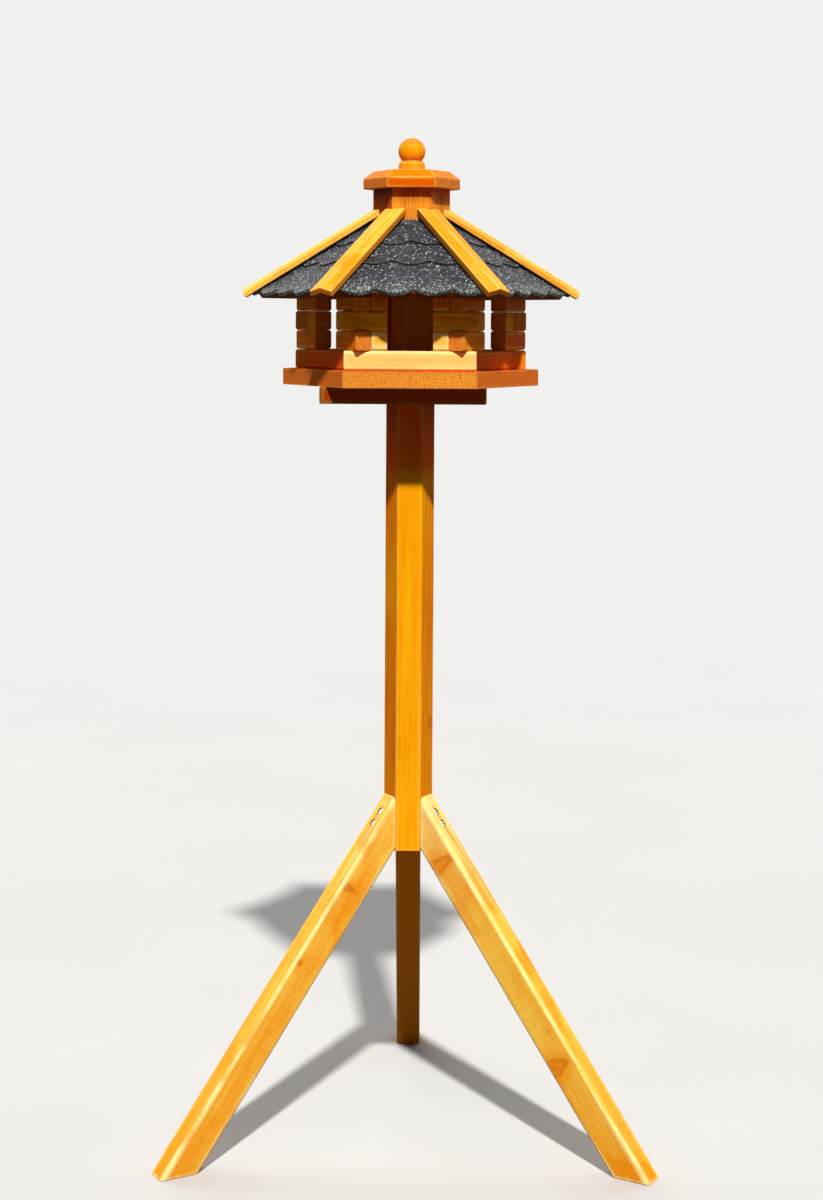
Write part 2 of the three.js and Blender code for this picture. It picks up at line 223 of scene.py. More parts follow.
def loft(rings):
    """A closed body through rings of points, with a flat face at each end."""
    shape = new_shape()
    rows = [[shape.verts.new(point) for point in ring] for ring in rings]
    for near, far in zip(rows, rows[1:]):
        for i in range(len(near)):
            j = (i + 1) % len(near)
            shape.faces.new((near[i], near[j], far[j], far[i]))
    shape.faces.new(reversed(rows[0]))
    shape.faces.new(rows[-1])
    bmesh.ops.recalc_face_normals(shape, faces=shape.faces)
    return shape


def stick(section, low, high):
    """A bar along Z whose ends lie at the heights that low and high give at each point."""
    ends = ([Vector((x, y, end(x, y))) for x, y in section] for end in (low, high))
    return loft(list(ends))


def level(height):
    return lambda x, y: height


def hexagon(apothem, height=None):
    """A hexagon's corners, with one side square to the Y axis."""
    radius = apothem * TO_CORNER
    turns = [k * SIDE_TURN for k in range(SIDES)]
    corners = [(radius * math.cos(turn), radius * math.sin(turn)) for turn in turns]
    return corners if height is None else [Vector((x, y, height)) for x, y in corners]


def turned(profile, steps):
    """A profile of radius and height pairs turned about Z, from the axis back to the axis."""
    shape = new_shape()
    foot = shape.verts.new((0, 0, profile[0][1]))
    head = shape.verts.new((0, 0, profile[-1][1]))
    rows = []
    for radius, height in profile[1:-1]:
        angles = [2 * math.pi * i / steps for i in range(steps)]
        rows.append(
            [shape.verts.new((radius * math.cos(a), radius * math.sin(a), height)) for a in angles]
        )
    for i in range(steps):
        j = (i + 1) % steps
        shape.faces.new((foot, rows[0][j], rows[0][i]))
        shape.faces.new((head, rows[-1][i], rows[-1][j]))
        for near, far in zip(rows, rows[1:]):
            shape.faces.new((near[i], near[j], far[j], far[i]))
    bmesh.ops.recalc_face_normals(shape, faces=shape.faces)
    return shape


SHARP = math.radians(18)  # faces that meet at more than this have an edge between them
CREASE = math.radians(42)  # an edge that turns more than this is shaded as a crease
ARC = 0.5  # the bevel's profile that is an arc
EDGE_STEPS = 3  # segments round an eased edge
FINE_STEPS = 2  # and round a finer one


def bevel(shape, edges, radius, segments):
    bmesh.ops.bevel(
        shape, geom=edges, offset=radius, offset_type="OFFSET", segments=segments, profile=ARC,
        affect="EDGES", clamp_overlap=True,
    )
    return shape


def ease(shape, radius, segments=EDGE_STEPS, which=None):
    """Rounds a shape's sharp edges, or those of them that which picks."""
    edges = [
        edge
        for edge in shape.edges
        if edge.is_manifold and edge.calc_face_angle() > SHARP and (which is None or which(edge))
    ]
    return bevel(shape, edges, radius, segments)


BAND_SHARE = 0.28  # the most of a face's width that a band of wear and painted highlight takes
EDGE_SHARE = 0.8  # the most of a face's shortest edge that a band of wear and painted highlight takes


def room_for_band(face):
    """How far a face's rim can move in before one of its edges is used up."""
    turns = [math.pi - loop.calc_angle() if loop.is_convex else 0.0 for loop in face.loops]
    corners = [math.tan(turn / 2) for turn in turns]
    room = math.inf
    for i, loop in enumerate(face.loops):
        shrink = corners[i] + corners[(i + 1) % len(corners)]
        if shrink > 0:
            room = min(room, loop.edge.calc_length() / shrink)
    return room


def band(shape, width):
    """Cuts a band along the rim of each flat face, which the wear and the painted edge highlight fade out
    over.
    """
    for face in list(shape.faces):
        longest = max(edge.calc_length() for edge in face.edges)
        narrow = face.calc_area() / longest
        if narrow > width:
            inset = min(width, narrow * BAND_SHARE, room_for_band(face) * EDGE_SHARE)
            bmesh.ops.inset_individual(shape, faces=[face], thickness=inset, use_even_offset=True)
    return shape


def cut_across(shape, height):
    """Cuts an upright piece's faces at a height, where its tone changes."""
    parts = list(shape.verts) + list(shape.edges) + list(shape.faces)
    bmesh.ops.bisect_plane(shape, geom=parts, plane_co=(0, 0, height), plane_no=(0, 0, 1))


def drill(shape, cutters):
    """Cuts other shapes out of a shape, and frees them."""
    blank = bpy.data.meshes.new("blank")
    shape.to_mesh(blank)
    shape.clear()
    work = bpy.data.objects.new("blank", blank)
    bpy.context.scene.collection.objects.link(work)
    tools = []
    for cutter in cutters:
        mesh = bpy.data.meshes.new("cutter")
        cutter.to_mesh(mesh)
        cutter.free()
        tool = bpy.data.objects.new("cutter", mesh)
        bpy.context.scene.collection.objects.link(tool)
        cut = work.modifiers.new("cut", "BOOLEAN")
        cut.operation = "DIFFERENCE"
        cut.solver = "EXACT"
        cut.object = tool
        tools.append(tool)
    graph = bpy.context.evaluated_depsgraph_get()
    shape.from_mesh(work.evaluated_get(graph).to_mesh())
    for made in [work, *tools]:
        mesh = made.data
        bpy.data.objects.remove(made)
        bpy.data.meshes.remove(mesh)
    return shape


# Timber: how each piece was cut from its tree

# The axes along the grain and across it, by the axis that the grain follows
ALONG = {"X": (0, 1, 2), "Y": (1, 2, 0), "Z": (2, 0, 1)}
TREE_REACH = (18 * MM, 60 * MM)  # the pith's distance from a piece's middle
TREE_TILT = 0.035  # how far the pith leans, as a slope
TREE_SHIFT = 4.0  # how far along its tree a piece can lie, in metres
FAR_KNOT = (1.0, 1.0, 1.0)  # the place by a knot that a piece without knots is given


class Grain:
    """How a piece lies in its tree: the pith's place and tilt, its knots and how dark it is.

    The tone is one number, or a function of a point and its normal.
    """

    def __init__(self, name, along="Z", knots=(), tone=0.0, pith=None, wear_and_highlight=1.0):
        chance = random.Random(name)
        reach = chance.uniform(*TREE_REACH)
        angle = chance.uniform(0, 2 * math.pi)
        self.pith = pith or (reach * math.cos(angle), reach * math.sin(angle))
        self.tilt = (chance.uniform(-TREE_TILT, TREE_TILT), chance.uniform(-TREE_TILT, TREE_TILT))
        self.shift = chance.uniform(0, TREE_SHIFT)
        self.order = ALONG[along]
        self.knots = knots
        self.tone = tone
        self.wear_and_highlight = wear_and_highlight

    def place(self, point):
        """A point's place in the tree: along the grain, and across it from the pith."""
        along, across, over = (point[k] for k in self.order)
        return Vector((
            along + self.shift,
            across - self.pith[0] - along * self.tilt[0],
            over - self.pith[1] - along * self.tilt[1],
        ))

    def nearest_knot(self, point):
        along = point[self.order[0]]
        return min(self.knots, key=lambda knot: abs(knot[0] - along), default=None)

    def from_knot(self, point, knot):
        """A point's place by a knot, which runs out from the pith: along, beside and outward."""
        if knot is None:
            return Vector(FAR_KNOT)
        along, degrees = knot
        place = self.place(point)
        angle = math.radians(degrees)
        beside = place.z * math.cos(angle) - place.y * math.sin(angle)
        outward = place.y * math.cos(angle) + place.z * math.sin(angle)
        return Vector((point[self.order[0]] - along, beside, outward))

    def write(self, shape):
        """Writes what the finish reads to the shape's layers."""
        shape.normal_update()
        places = shape.verts.layers.float_vector["timber"]
        edges = shape.verts.layers.float["edge"]
        ends = shape.verts.layers.float["end_grain"]
        tones = shape.verts.layers.float["tone"]
        by_knots = shape.loops.layers.float_vector["knot"]
        for vert in shape.verts:
            vert[places] = self.place(vert.co)
            normals = [face.normal for face in vert.link_faces]
            at_edge = any(normals[0].angle(other, 0) > SHARP / 2 for other in normals)
            vert[edges] = self.wear_and_highlight * at_edge
            vert[ends] = abs(vert.normal[self.order[0]])
            vert[tones] = self.tone(vert.co, vert.normal) if callable(self.tone) else self.tone
        for face in shape.faces:
            knot = self.nearest_knot(face.calc_center_median())
            for loop in face.loops:
                loop[by_knots] = self.from_knot(loop.vert.co, knot)


def between_knots(shape, grain):
    """Cuts the shape halfway between neighbouring knots, so each face lies by one of them."""
    places = sorted(knot[0] for knot in grain.knots)
    normal = [0.0, 0.0, 0.0]
    normal[grain.order[0]] = 1.0
    for near, far in zip(places, places[1:]):
        where = [part * (near + far) / 2 for part in normal]
        parts = list(shape.verts) + list(shape.edges) + list(shape.faces)
        bmesh.ops.bisect_plane(shape, geom=parts, plane_co=where, plane_no=normal)


FLAT_WEIGHT = 100  # how strongly the large faces keep their normals


class Piece:
    """A visible piece, put together from one or more shapes."""

    def __init__(self):
        self.whole = new_shape()

    def add(self, shape, place=Matrix.Identity(4), grain=None):
        if grain:
            between_knots(shape, grain)
            grain.write(shape)
        bmesh.ops.transform(shape, matrix=place, verts=shape.verts)
        for face in shape.faces:
            face.smooth = True
        for edge in shape.edges:
            edge.smooth = edge.calc_face_angle(math.pi) < CREASE
        carrier = bpy.data.meshes.new("carrier")
        shape.to_mesh(carrier)
        shape.free()
        self.whole.from_mesh(carrier)
        bpy.data.meshes.remove(carrier)

    def show(self, name, material, nodes, body="table"):
        """Makes the piece an object that stands for its nodes and rides on its body."""
        mesh = bpy.data.meshes.new(name)
        self.whole.to_mesh(mesh)
        self.whole.free()
        mesh.materials.append(bpy.data.materials[finish_name(material)])
        piece = bpy.data.objects.new(name, mesh)
        bpy.context.scene.collection.objects.link(piece)
        weighted = piece.modifiers.new("flat faces stay flat", "WEIGHTED_NORMAL")
        weighted.weight = FLAT_WEIGHT
        weighted.keep_sharp = True
        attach(piece, body)
        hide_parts(*nodes)
        return piece


def side_frame(k):
    """The frame of the house's side k: the front one's, turned about the axis."""
    return Matrix.Translation(AXIS) @ Matrix.Rotation(k * SIDE_TURN, 4, "Z")


def corner_frame(k):
    return side_frame(k) @ Matrix.Rotation(HALF_TURN, 4, "Z")


# Nodes

MIDDLE_SHARE = 0.5  # what noise is on average


class Wiring:
    """Adds nodes to a shader tree and joins them."""

    def __init__(self, tree):
        self.tree = tree

    def put(self, kind, inputs=None, **settings):
        node = self.tree.nodes.new(kind)
        for name, value in settings.items():
            setattr(node, name, value)
        for key, value in (inputs or {}).items():
            self.feed(node.inputs[key], value)
        return node

    def feed(self, socket, value):
        if isinstance(value, bpy.types.NodeSocket):
            self.tree.links.new(value, socket)
        else:
            socket.default_value = value

    def math(self, operation, *values):
        inputs = dict(enumerate(values))
        return self.put("ShaderNodeMath", inputs, operation=operation).outputs[0]

    def vector(self, operation, *values):
        inputs = dict(enumerate(values))
        return self.put("ShaderNodeVectorMath", inputs, operation=operation).outputs["Vector"]

    def distance(self, *parts):
        joined = self.put("ShaderNodeCombineXYZ", dict(enumerate(parts))).outputs[0]
        return self.put("ShaderNodeVectorMath", {0: joined}, operation="LENGTH").outputs["Value"]

    def split(self, vector):
        return self.put("ShaderNodeSeparateXYZ", {0: vector}).outputs

    def noise(self, place, stretch, detail, roughness, output="Fac"):
        scaled = self.vector("MULTIPLY", place, stretch)
        inputs = {"Vector": scaled, "Scale": 1.0, "Detail": detail, "Roughness": roughness}
        return self.put("ShaderNodeTexNoise", inputs).outputs[output]

    def swing(self, place, *pattern):
        """Noise that swings about zero."""
        return self.math("SUBTRACT", self.noise(place, *pattern), MIDDLE_SHARE)

    def fade(self, value, start, end, low=0.0, high=1.0):
        """Low up to start, high from end on, and smooth between."""
        names = ("Value", "From Min", "From Max", "To Min", "To Max")
        inputs = dict(zip(names, (value, start, end, low, high)))
        return self.put("ShaderNodeMapRange", inputs, interpolation_type="SMOOTHSTEP").outputs[0]

    def between(self, value, low, high):
        """Low where the value is 0, high where it is 1, and straight between."""
        return self.math("MULTIPLY_ADD", value, high - low, low)

    def mix(self, amount, first, second, blend="MIX"):
        inputs = {"Factor": amount, "A": first, "B": second}
        node = self.tree.nodes.new("ShaderNodeMix")
        node.data_type = "RGBA"
        node.blend_type = blend
        for socket in node.inputs:
            if socket.enabled and socket.name in inputs:
                self.feed(socket, inputs[socket.name])
        return next(socket for socket in node.outputs if socket.enabled)

    def attribute(self, name, output):
        return self.put("ShaderNodeAttribute", attribute_name=name).outputs[output]

    def sum(self, *values):
        total = values[0]
        for value in values[1:]:
            total = self.math("ADD", total, value)
        return total

    def blend(self, parts, shares):
        """The sum of some parts, each by its share."""
        return self.sum(*(self.math("MULTIPLY", parts[name], shares[name]) for name in shares))

    def bump(self, height, strength, distance):
        inputs = {"Height": height, "Strength": strength, "Distance": distance}
        return self.put("ShaderNodeBump", inputs).outputs[0]


def group(name, inputs, outputs):
    """A new node group with its sockets, and the ends of its tree."""
    tree = bpy.data.node_groups.new(name, "ShaderNodeTree")
    kinds = {"colour": "NodeSocketColor", "value": "NodeSocketFloat"}
    for label, kind in inputs:
        tree.interface.new_socket(label, in_out="INPUT", socket_type=kinds[kind])
    for label, kind in outputs:
        tree.interface.new_socket(label, in_out="OUTPUT", socket_type=kinds[kind])
    wiring = Wiring(tree)
    start = wiring.put("NodeGroupInput")
    end = wiring.put("NodeGroupOutput")
    return wiring, start.outputs, end.inputs


# The timber's patterns: their scale per metre along the grain and across it, detail and roughness

SWAY = ((2.4, 11.0, 11.0), 2.0, 0.5)
RING_VARIETY = ((1.3, 34.0, 34.0), 2.0, 0.55)
FIBRE = ((26.0, 950.0, 950.0), 3.0, 0.65)
STREAK = ((4.5, 150.0, 150.0), 3.0, 0.6)
BLOTCH = ((6.0, 20.0, 20.0), 2.0, 0.55)
PATCH = ((9.0, 14.0, 14.0), 3.0, 0.5)
SAW_MARK = ((330.0, 14.0, 14.0), 1.0, 0.55)
WEAR_AND_HIGHLIGHT_PATCH = ((22.0, 70.0, 70.0), 3.0, 0.55)
KNOT_OUTLINE = ((60.0, 90.0, 90.0), 2.0, 0.55)
PORE = ((620.0, 620.0, 620.0), 1.0, 0.55)
PORE_TURN = (0.5, 0.4, 0.3)  # keeps the pores' cells off the plane of a square-cut end

# Growth rings

SWAY_REACH = (0.0, 16 * MM, 16 * MM)  # how far the rings sway across the grain
RING_SWING = 2.2  # how many rings the noise moves them by
RING_BULGE = 11 * MM  # how far a knot pushes the rings aside
LATE_START_SHARES = (0.3, 0.86)  # where in a year's ring the late wood starts and is full
LATE_END_SHARES = (0.9, 1.0)  # where it gives way to the next year's early wood
YEAR_SHARES = (0.4, 1.0)  # how dark the palest and the darkest year are

# Knots

KNOT_STRETCH = 0.62  # how much less a length along the grain counts than one across it
KNOT_STRAY = 5 * MM  # how far a knot's outline strays
KNOT_DEPTH = 55 * MM  # how far out from the pith a knot is full-grown
KNOT_GROWTH_SHARES = (0.45, 1.25)  # its radius at the pith and when it is full-grown
HALO_REACH = 2.3  # how many radii the bent grain round a knot reaches
FLAME_SHARE = 0.75  # how much of the late wood's colour that grain takes
CORE_FADE = (-4 * MM, 2 * MM)  # where the core fades out, from its edge
CORE_RINGS = 1900.0  # the core's own rings, in radians per metre
CORE_SHARES = (0.25, 0.5)  # how much these rings vary the core's colour, and its mean
RIM_INSET = 1 * MM  # how far inside the core's edge the dark rim lies
RIM_FADE = (0.2 * MM, 2.2 * MM)  # where the rim fades out to both sides
RIM_SHARE = 0.35

# Surface

DARKNESS_SHARES = {"fibre": 0.7, "streak": 0.8, "blotch": 0.7}
LEAST_TONE = -0.15  # a lower tone makes wood paler instead of less dark
BASE_DARKNESS = 0.1
DARKNESS_SPAN = (-0.15, 1.15)  # from all early wood to all late wood
PALE_TONES = (-1.0, -0.4)  # the tones at which wood is quite pale and starts to pale: fading, and painted sunlight on the front logs
PALE_SHARE = 0.6
END_FADE = (0.3, 0.65)  # how square to the grain a face is that starts to show, and shows, its end
END_SHARE = 0.62
PORE_FADE = (0.56, 0.65)
PORE_SHARE = 0.8
RUB_AND_HIGHLIGHT_FADE = (0.32, 0.62)
RUB_AND_HIGHLIGHT_SHARES = (0.25, 1.0)  # how worn and highlit an edge is between the rubbed patches and in them
END_WEAR_AND_HIGHLIGHT_SHARES = (1.0, 0.3)  # how worn and highlit an edge is along the grain and round an end
PATCH_FADE = (0.5, 0.66)
DEEP_SHADE_TONE = 2.0  # the tone at which wood is painted quite dark with shade, as in a screw's hole
DEEP_SHADE_TONES = (1.0, DEEP_SHADE_TONE)
DEEP_SHADE_SHARE = 0.92
# The dark brown of painted shade, which the highest tones take
PAINTED_SHADE_BROWN = on_screen(44, 26, 14)
ROUGHNESS_SHARES = {"fibre": 0.2, "blotch": 0.12, "end": 0.18, "core": -0.08}
HEIGHT_SHARES = {"late": -0.35, "fibre": 0.7, "pores": -0.8, "core": 0.5}


def wire_knots(w, place, size):
    """How far a knot's axis is, and where its bent grain, its core and its dark rim lie."""
    by_knot = w.split(w.attribute("knot", "Vector"))
    flat = w.distance(w.math("MULTIPLY", by_knot["X"], KNOT_STRETCH), by_knot["Y"])
    stray = w.math("MULTIPLY", w.swing(place, *KNOT_OUTLINE), KNOT_STRAY)
    from_knot = w.math("ADD", flat, stray)
    outside = w.math("GREATER_THAN", by_knot["Z"], 0.0)
    growth = w.fade(by_knot["Z"], 0.0, KNOT_DEPTH, *KNOT_GROWTH_SHARES)
    radius = w.math("MULTIPLY", size, growth)
    spread = w.math("DIVIDE", from_knot, w.math("MULTIPLY", radius, HALO_REACH))
    falling = w.math("EXPONENT", w.math("MULTIPLY", w.math("MULTIPLY", spread, spread), -1.0))
    halo = w.math("MULTIPLY", falling, outside)
    from_edge = w.math("SUBTRACT", from_knot, radius)
    core = w.math("MULTIPLY", w.fade(from_edge, *CORE_FADE, 1.0, 0.0), outside)
    off_rim = w.math("ABSOLUTE", w.math("ADD", from_edge, RIM_INSET))
    rim = w.math("MULTIPLY", w.fade(off_rim, *RIM_FADE, RIM_SHARE, 0.0), outside)
    return from_knot, halo, core, rim


def wire_rings(w, place, halo, width):
    """The late wood of each year's ring, which sways along the tree and bends round knots."""
    swayed = w.vector("SUBTRACT", w.noise(place, *SWAY, "Color"), (MIDDLE_SHARE,) * 3)
    sway = w.vector("MULTIPLY", swayed, SWAY_REACH)
    warped = w.split(w.vector("ADD", place, sway))
    radius = w.distance(0.0, warped["Y"], warped["Z"])
    bulged = w.math("MULTIPLY_ADD", halo, RING_BULGE, radius)
    variety = w.math("MULTIPLY", w.noise(place, *RING_VARIETY), RING_SWING)
    rings = w.math("ADD", w.math("DIVIDE", bulged, width), variety)
    phase = w.math("FRACT", rings)
    rising = w.fade(phase, *LATE_START_SHARES)
    ending = w.fade(phase, *LATE_END_SHARES, 1.0, 0.0)
    years = w.put("ShaderNodeTexWhiteNoise", {"W": w.math("FLOOR", rings)}, noise_dimensions="1D")
    year = w.between(years.outputs["Value"], *YEAR_SHARES)
    return w.math("MULTIPLY", w.math("MULTIPLY", rising, ending), year)


def make_timber_group():
    """Growth rings, fibre, knots, end grain, worn and painted-highlit edges and painted shade of sawn pine,
    from the tree's frame.
    """
    colours = ("Early wood", "Late wood", "Knot", "Knot rim", "End grain", "Worn edge and highlight")
    values = ("Ring width", "Ring strength", "Patches", "Knot radius", "Wear and highlight", "Saw marks", "Gloss")
    inputs = [(name, "colour") for name in colours] + [(name, "value") for name in values]
    outputs = (("Colour", "colour"), ("Roughness", "value"), ("Height", "value"))
    w, given, made = group("stained_pine", inputs, outputs)

    place = w.attribute("timber", "Vector")
    tone = w.attribute("tone", "Fac")
    from_knot, halo, core, knot_rim = wire_knots(w, place, given["Knot radius"])
    late = wire_rings(w, place, halo, given["Ring width"])
    end = w.fade(w.attribute("end_grain", "Fac"), *END_FADE)
    askew = w.put("ShaderNodeMapping", {"Vector": place, "Rotation": PORE_TURN}).outputs[0]
    parts = {
        "late": late,
        "fibre": w.swing(place, *FIBRE),
        "streak": w.swing(place, *STREAK),
        "blotch": w.swing(place, *BLOTCH),
        "core": core,
        "end": end,
        "pores": w.math("MULTIPLY", w.fade(w.noise(askew, *PORE), *PORE_FADE), end),
    }
    patch = w.fade(w.noise(place, *PATCH), *PATCH_FADE)
    saw = w.math("MULTIPLY", w.noise(place, *SAW_MARK), given["Saw marks"])

    darkness = w.sum(
        w.math("MULTIPLY", late, given["Ring strength"]),
        w.blend(parts, DARKNESS_SHARES),
        w.math("MULTIPLY", patch, given["Patches"]),
        saw,
        w.math("MAXIMUM", tone, LEAST_TONE),
        BASE_DARKNESS,
    )
    wood = w.mix(w.fade(darkness, *DARKNESS_SPAN), given["Early wood"], given["Late wood"])
    wood = w.mix(w.fade(tone, *PALE_TONES, PALE_SHARE, 0.0), wood, given["Worn edge and highlight"])

    wood = w.mix(w.math("MULTIPLY", halo, FLAME_SHARE), wood, given["Late wood"])
    core_rings = w.math("SINE", w.math("MULTIPLY", from_knot, CORE_RINGS))
    core_tone = w.math("MULTIPLY", core, w.math("MULTIPLY_ADD", core_rings, *CORE_SHARES))
    wood = w.mix(core_tone, wood, given["Knot"])
    wood = w.mix(knot_rim, wood, given["Knot rim"])

    wood = w.mix(w.math("MULTIPLY", end, END_SHARE), wood, given["End grain"])
    wood = w.mix(w.math("MULTIPLY", parts["pores"], PORE_SHARE), wood, given["Knot"])

    # The pale edges are partly wear and partly a painted highlight along the edges
    rubbed_and_highlit = w.between(w.fade(w.noise(place, *WEAR_AND_HIGHLIGHT_PATCH), *RUB_AND_HIGHLIGHT_FADE), *RUB_AND_HIGHLIGHT_SHARES)
    wear_and_highlight = w.math("MULTIPLY", w.math("MULTIPLY", w.attribute("edge", "Fac"), rubbed_and_highlit), given["Wear and highlight"])
    wear_and_highlight_share = w.math("MULTIPLY", wear_and_highlight, w.between(end, *END_WEAR_AND_HIGHLIGHT_SHARES))
    wood = w.mix(wear_and_highlight_share, wood, given["Worn edge and highlight"])
    # Painted shade: the highest tones darken the wood towards a dark brown
    wood = w.mix(w.fade(tone, *DEEP_SHADE_TONES, 0.0, DEEP_SHADE_SHARE), wood, PAINTED_SHADE_BROWN)

    w.feed(made["Colour"], wood)
    w.feed(made["Roughness"], w.sum(given["Gloss"], w.blend(parts, ROUGHNESS_SHARES)))
    w.feed(made["Height"], w.sum(w.blend(parts, HEIGHT_SHARES), saw))


def finish_name(slot):
    """The name of a slot's finish, apart from the frame's own plain material."""
    return f"{slot}_finish"


def new_material(slot):
    material = bpy.data.materials.new(finish_name(slot))
    material.use_nodes = True
    material.node_tree.nodes.clear()
    wiring = Wiring(material.node_tree)
    shader = wiring.put("ShaderNodeBsdfPrincipled")
    output = wiring.put("ShaderNodeOutputMaterial")
    wiring.feed(output.inputs["Surface"], shader.outputs[0])
    return wiring, shader.inputs


PINE_BUMP = (0.5, 0.5 * MM)  # its strength and height
PINE_SHADER = {"Coat Weight": 0.06, "Coat Roughness": 0.28, "Specular IOR Level": 0.0}


def make_pine(name, settings):
    """A stained pine finish: the shared timber group with this finish's own values."""
    w, shader = new_material(name)
    tree = bpy.data.node_groups["stained_pine"]
    timber = w.put("ShaderNodeGroup", settings, node_tree=tree).outputs
    w.feed(shader["Base Color"], timber["Colour"])
    w.feed(shader["Roughness"], timber["Roughness"])
    w.feed(shader["Normal"], w.bump(timber["Height"], *PINE_BUMP))
    for label, value in PINE_SHADER.items():
        w.feed(shader[label], value)


PINE_VALUES = {
    "amber_pine": {
        "Knot": on_screen(160, 66, 10),
        "Knot rim": on_screen(96, 34, 6),
        "End grain": on_screen(238, 144, 66),
        "Worn edge and highlight": on_screen(253, 196, 84),
        "Ring width": 3.1 * MM,
        "Ring strength": 0.42,
        "Patches": 0.15,
        "Knot radius": 6 * MM,
        "Wear and highlight": 0.45,
        "Saw marks": 0.1,
        "Gloss": 0.42,
    },
    "honey_pine": {
        "Knot": on_screen(222, 116, 22),
        "Knot rim": on_screen(184, 84, 12),
        "End grain": on_screen(238, 112, 18),
        "Worn edge and highlight": on_screen(253, 230, 156),
        "Ring width": 4.2 * MM,
        "Ring strength": 0.4,
        "Patches": 0.5,
        "Knot radius": 6.5 * MM,
        "Wear and highlight": 0.85,
        "Saw marks": 0.5,
        "Gloss": 0.4,
    },
    "red_pine": {
        "Knot": on_screen(104, 34, 8),
        "Knot rim": on_screen(70, 22, 6),
        "End grain": on_screen(150, 58, 16),
        "Worn edge and highlight": on_screen(230, 136, 50),
        "Ring width": 2.6 * MM,
        "Ring strength": 0.42,
        "Patches": 0.1,
        "Knot radius": 5 * MM,
        "Wear and highlight": 0.35,
        "Saw marks": 0.1,
        "Gloss": 0.45,
    },
}


# The felt: its granules, patterns as the timber's, and shades

GRANULES = 530.0  # per metre
CLUMP = ((130.0, 130.0, 130.0), 3.0, 0.7)
CLOUD = ((16.0, 16.0, 16.0), 2.0, 0.55)
GRANULE_SPREAD = 3.0  # the power that keeps most granules dark
BRIGHT_SHARES = {"granule": 0.13, "speck": 0.8, "clump": 0.22, "cloud": 0.1}
SPECK_FADE = (0.9, 0.96)  # the granules over this are pale specks
EAVE_SPECKS_SHARE = 0.16  # of the granules, that are specks besides by the eave
MOSS = on_screen(96, 106, 84)
MOSS_SHARE = 0.3
GAP_FADE = (0.35, 0.75)  # how far from a granule's middle the dark gap starts and is full
GAP_SHARES = (1.0, 0.55)
FELT_ROUGHNESS = (0.72, 0.95)
FELT_BUMP = (0.9, 1.2 * MM)
BITUMEN = on_screen(12, 12, 14)


def make_felt(finishes):
    """Slate granules in bitumen: cells of their own shade, some pale specks, mossy by the eave."""
    w, shader = new_material("bitumen_felt")
    place = w.attribute("timber", "Vector")
    cells = w.put("ShaderNodeTexVoronoi", {"Vector": place, "Scale": GRANULES}).outputs
    shade = w.split(cells["Color"])
    clump = w.noise(place, *CLUMP)
    by_eave = w.fade(w.attribute("tone", "Fac"), 0.0, 1.0)
    specks = w.math("MULTIPLY_ADD", by_eave, EAVE_SPECKS_SHARE, shade["Y"])
    parts = {
        "granule": w.math("POWER", shade["X"], GRANULE_SPREAD),
        "speck": w.fade(specks, *SPECK_FADE),
        "clump": w.math("SUBTRACT", clump, MIDDLE_SHARE),
        "cloud": w.swing(place, *CLOUD),
    }
    bright = w.blend(parts, BRIGHT_SHARES)
    granules = w.mix(bright, finishes.felt_dark, finishes.felt_light)
    mossy = w.mix(w.math("MULTIPLY", by_eave, MOSS_SHARE), granules, MOSS)
    gaps = w.fade(cells["Distance"], *GAP_FADE, *GAP_SHARES)
    granular = w.mix(1.0, mossy, gaps, "MULTIPLY")
    w.feed(shader["Base Color"], w.mix(w.attribute("edge", "Fac"), granular, BITUMEN))
    w.feed(shader["Roughness"], w.fade(shade["Z"], 0.0, 1.0, *FELT_ROUGHNESS))
    height = w.math("SUBTRACT", clump, cells["Distance"])
    w.feed(shader["Normal"], w.bump(height, *FELT_BUMP))


# The screws' zinc

ZINC_CLOUD = ((300.0, 300.0, 300.0), 3.0, 0.55)
ZINC_DULL = on_screen(150, 146, 138)
ZINC_BRIGHT = on_screen(226, 224, 216)
ZINC_FADE = (0.2, 0.8)
ZINC_ROUGHNESS = (0.22, 0.45)


def make_steel():
    w, shader = new_material("zinced_steel")
    clouds = w.noise(w.attribute("timber", "Vector"), *ZINC_CLOUD)
    w.feed(shader["Base Color"], w.mix(clouds, ZINC_DULL, ZINC_BRIGHT))
    w.feed(shader["Roughness"], w.fade(clouds, *ZINC_FADE, *ZINC_ROUGHNESS))
    w.feed(shader["Metallic"], 1.0)


# The pieces

# How much an edge is eased and how wide its band of wear and painted highlight is, beside those of a sawn
# timber
EASE_SHARES = {"platform": 1.3, "log": 0.6, "cap": 0.8}
BAND_SHARES = {"strip": 0.7, "cap": 0.6}
UPRIGHT = 0.99  # an edge is upright when its direction's Z is over this
SQUARE = math.radians(35)  # an edge over this is still square after a first easing


def upright(edge):
    return abs((edge.verts[0].co - edge.verts[1].co).normalized().z) > UPRIGHT


def square(edge):
    return edge.calc_face_angle() > SQUARE


def ramp(place, span, values):
    """Goes straight from the first value to the last over a span, and on past its ends."""
    start, end = span
    first, last = values
    return first + (place - start) / (end - start) * (last - first)


# How far below the post's top the platform's painted shadow starts and is full, and how much darker
# it makes the stain at the second of these places and at the post's top
PLATFORM_SHADOW = (112 * MM, 92 * MM)
PLATFORM_SHADOW_TONES = (0.6, 1.2)
# The paler front and darker sides are painted light
POST_TONES = {"front": -0.1, "side": 0.25}
POST_FRONT = 0.8  # a face is at the front or back when its normal's Y is over this
POST_KNOTS = ((0.61, 160), (0.93, 120))
POST_PITH = (62 * MM, -12 * MM)


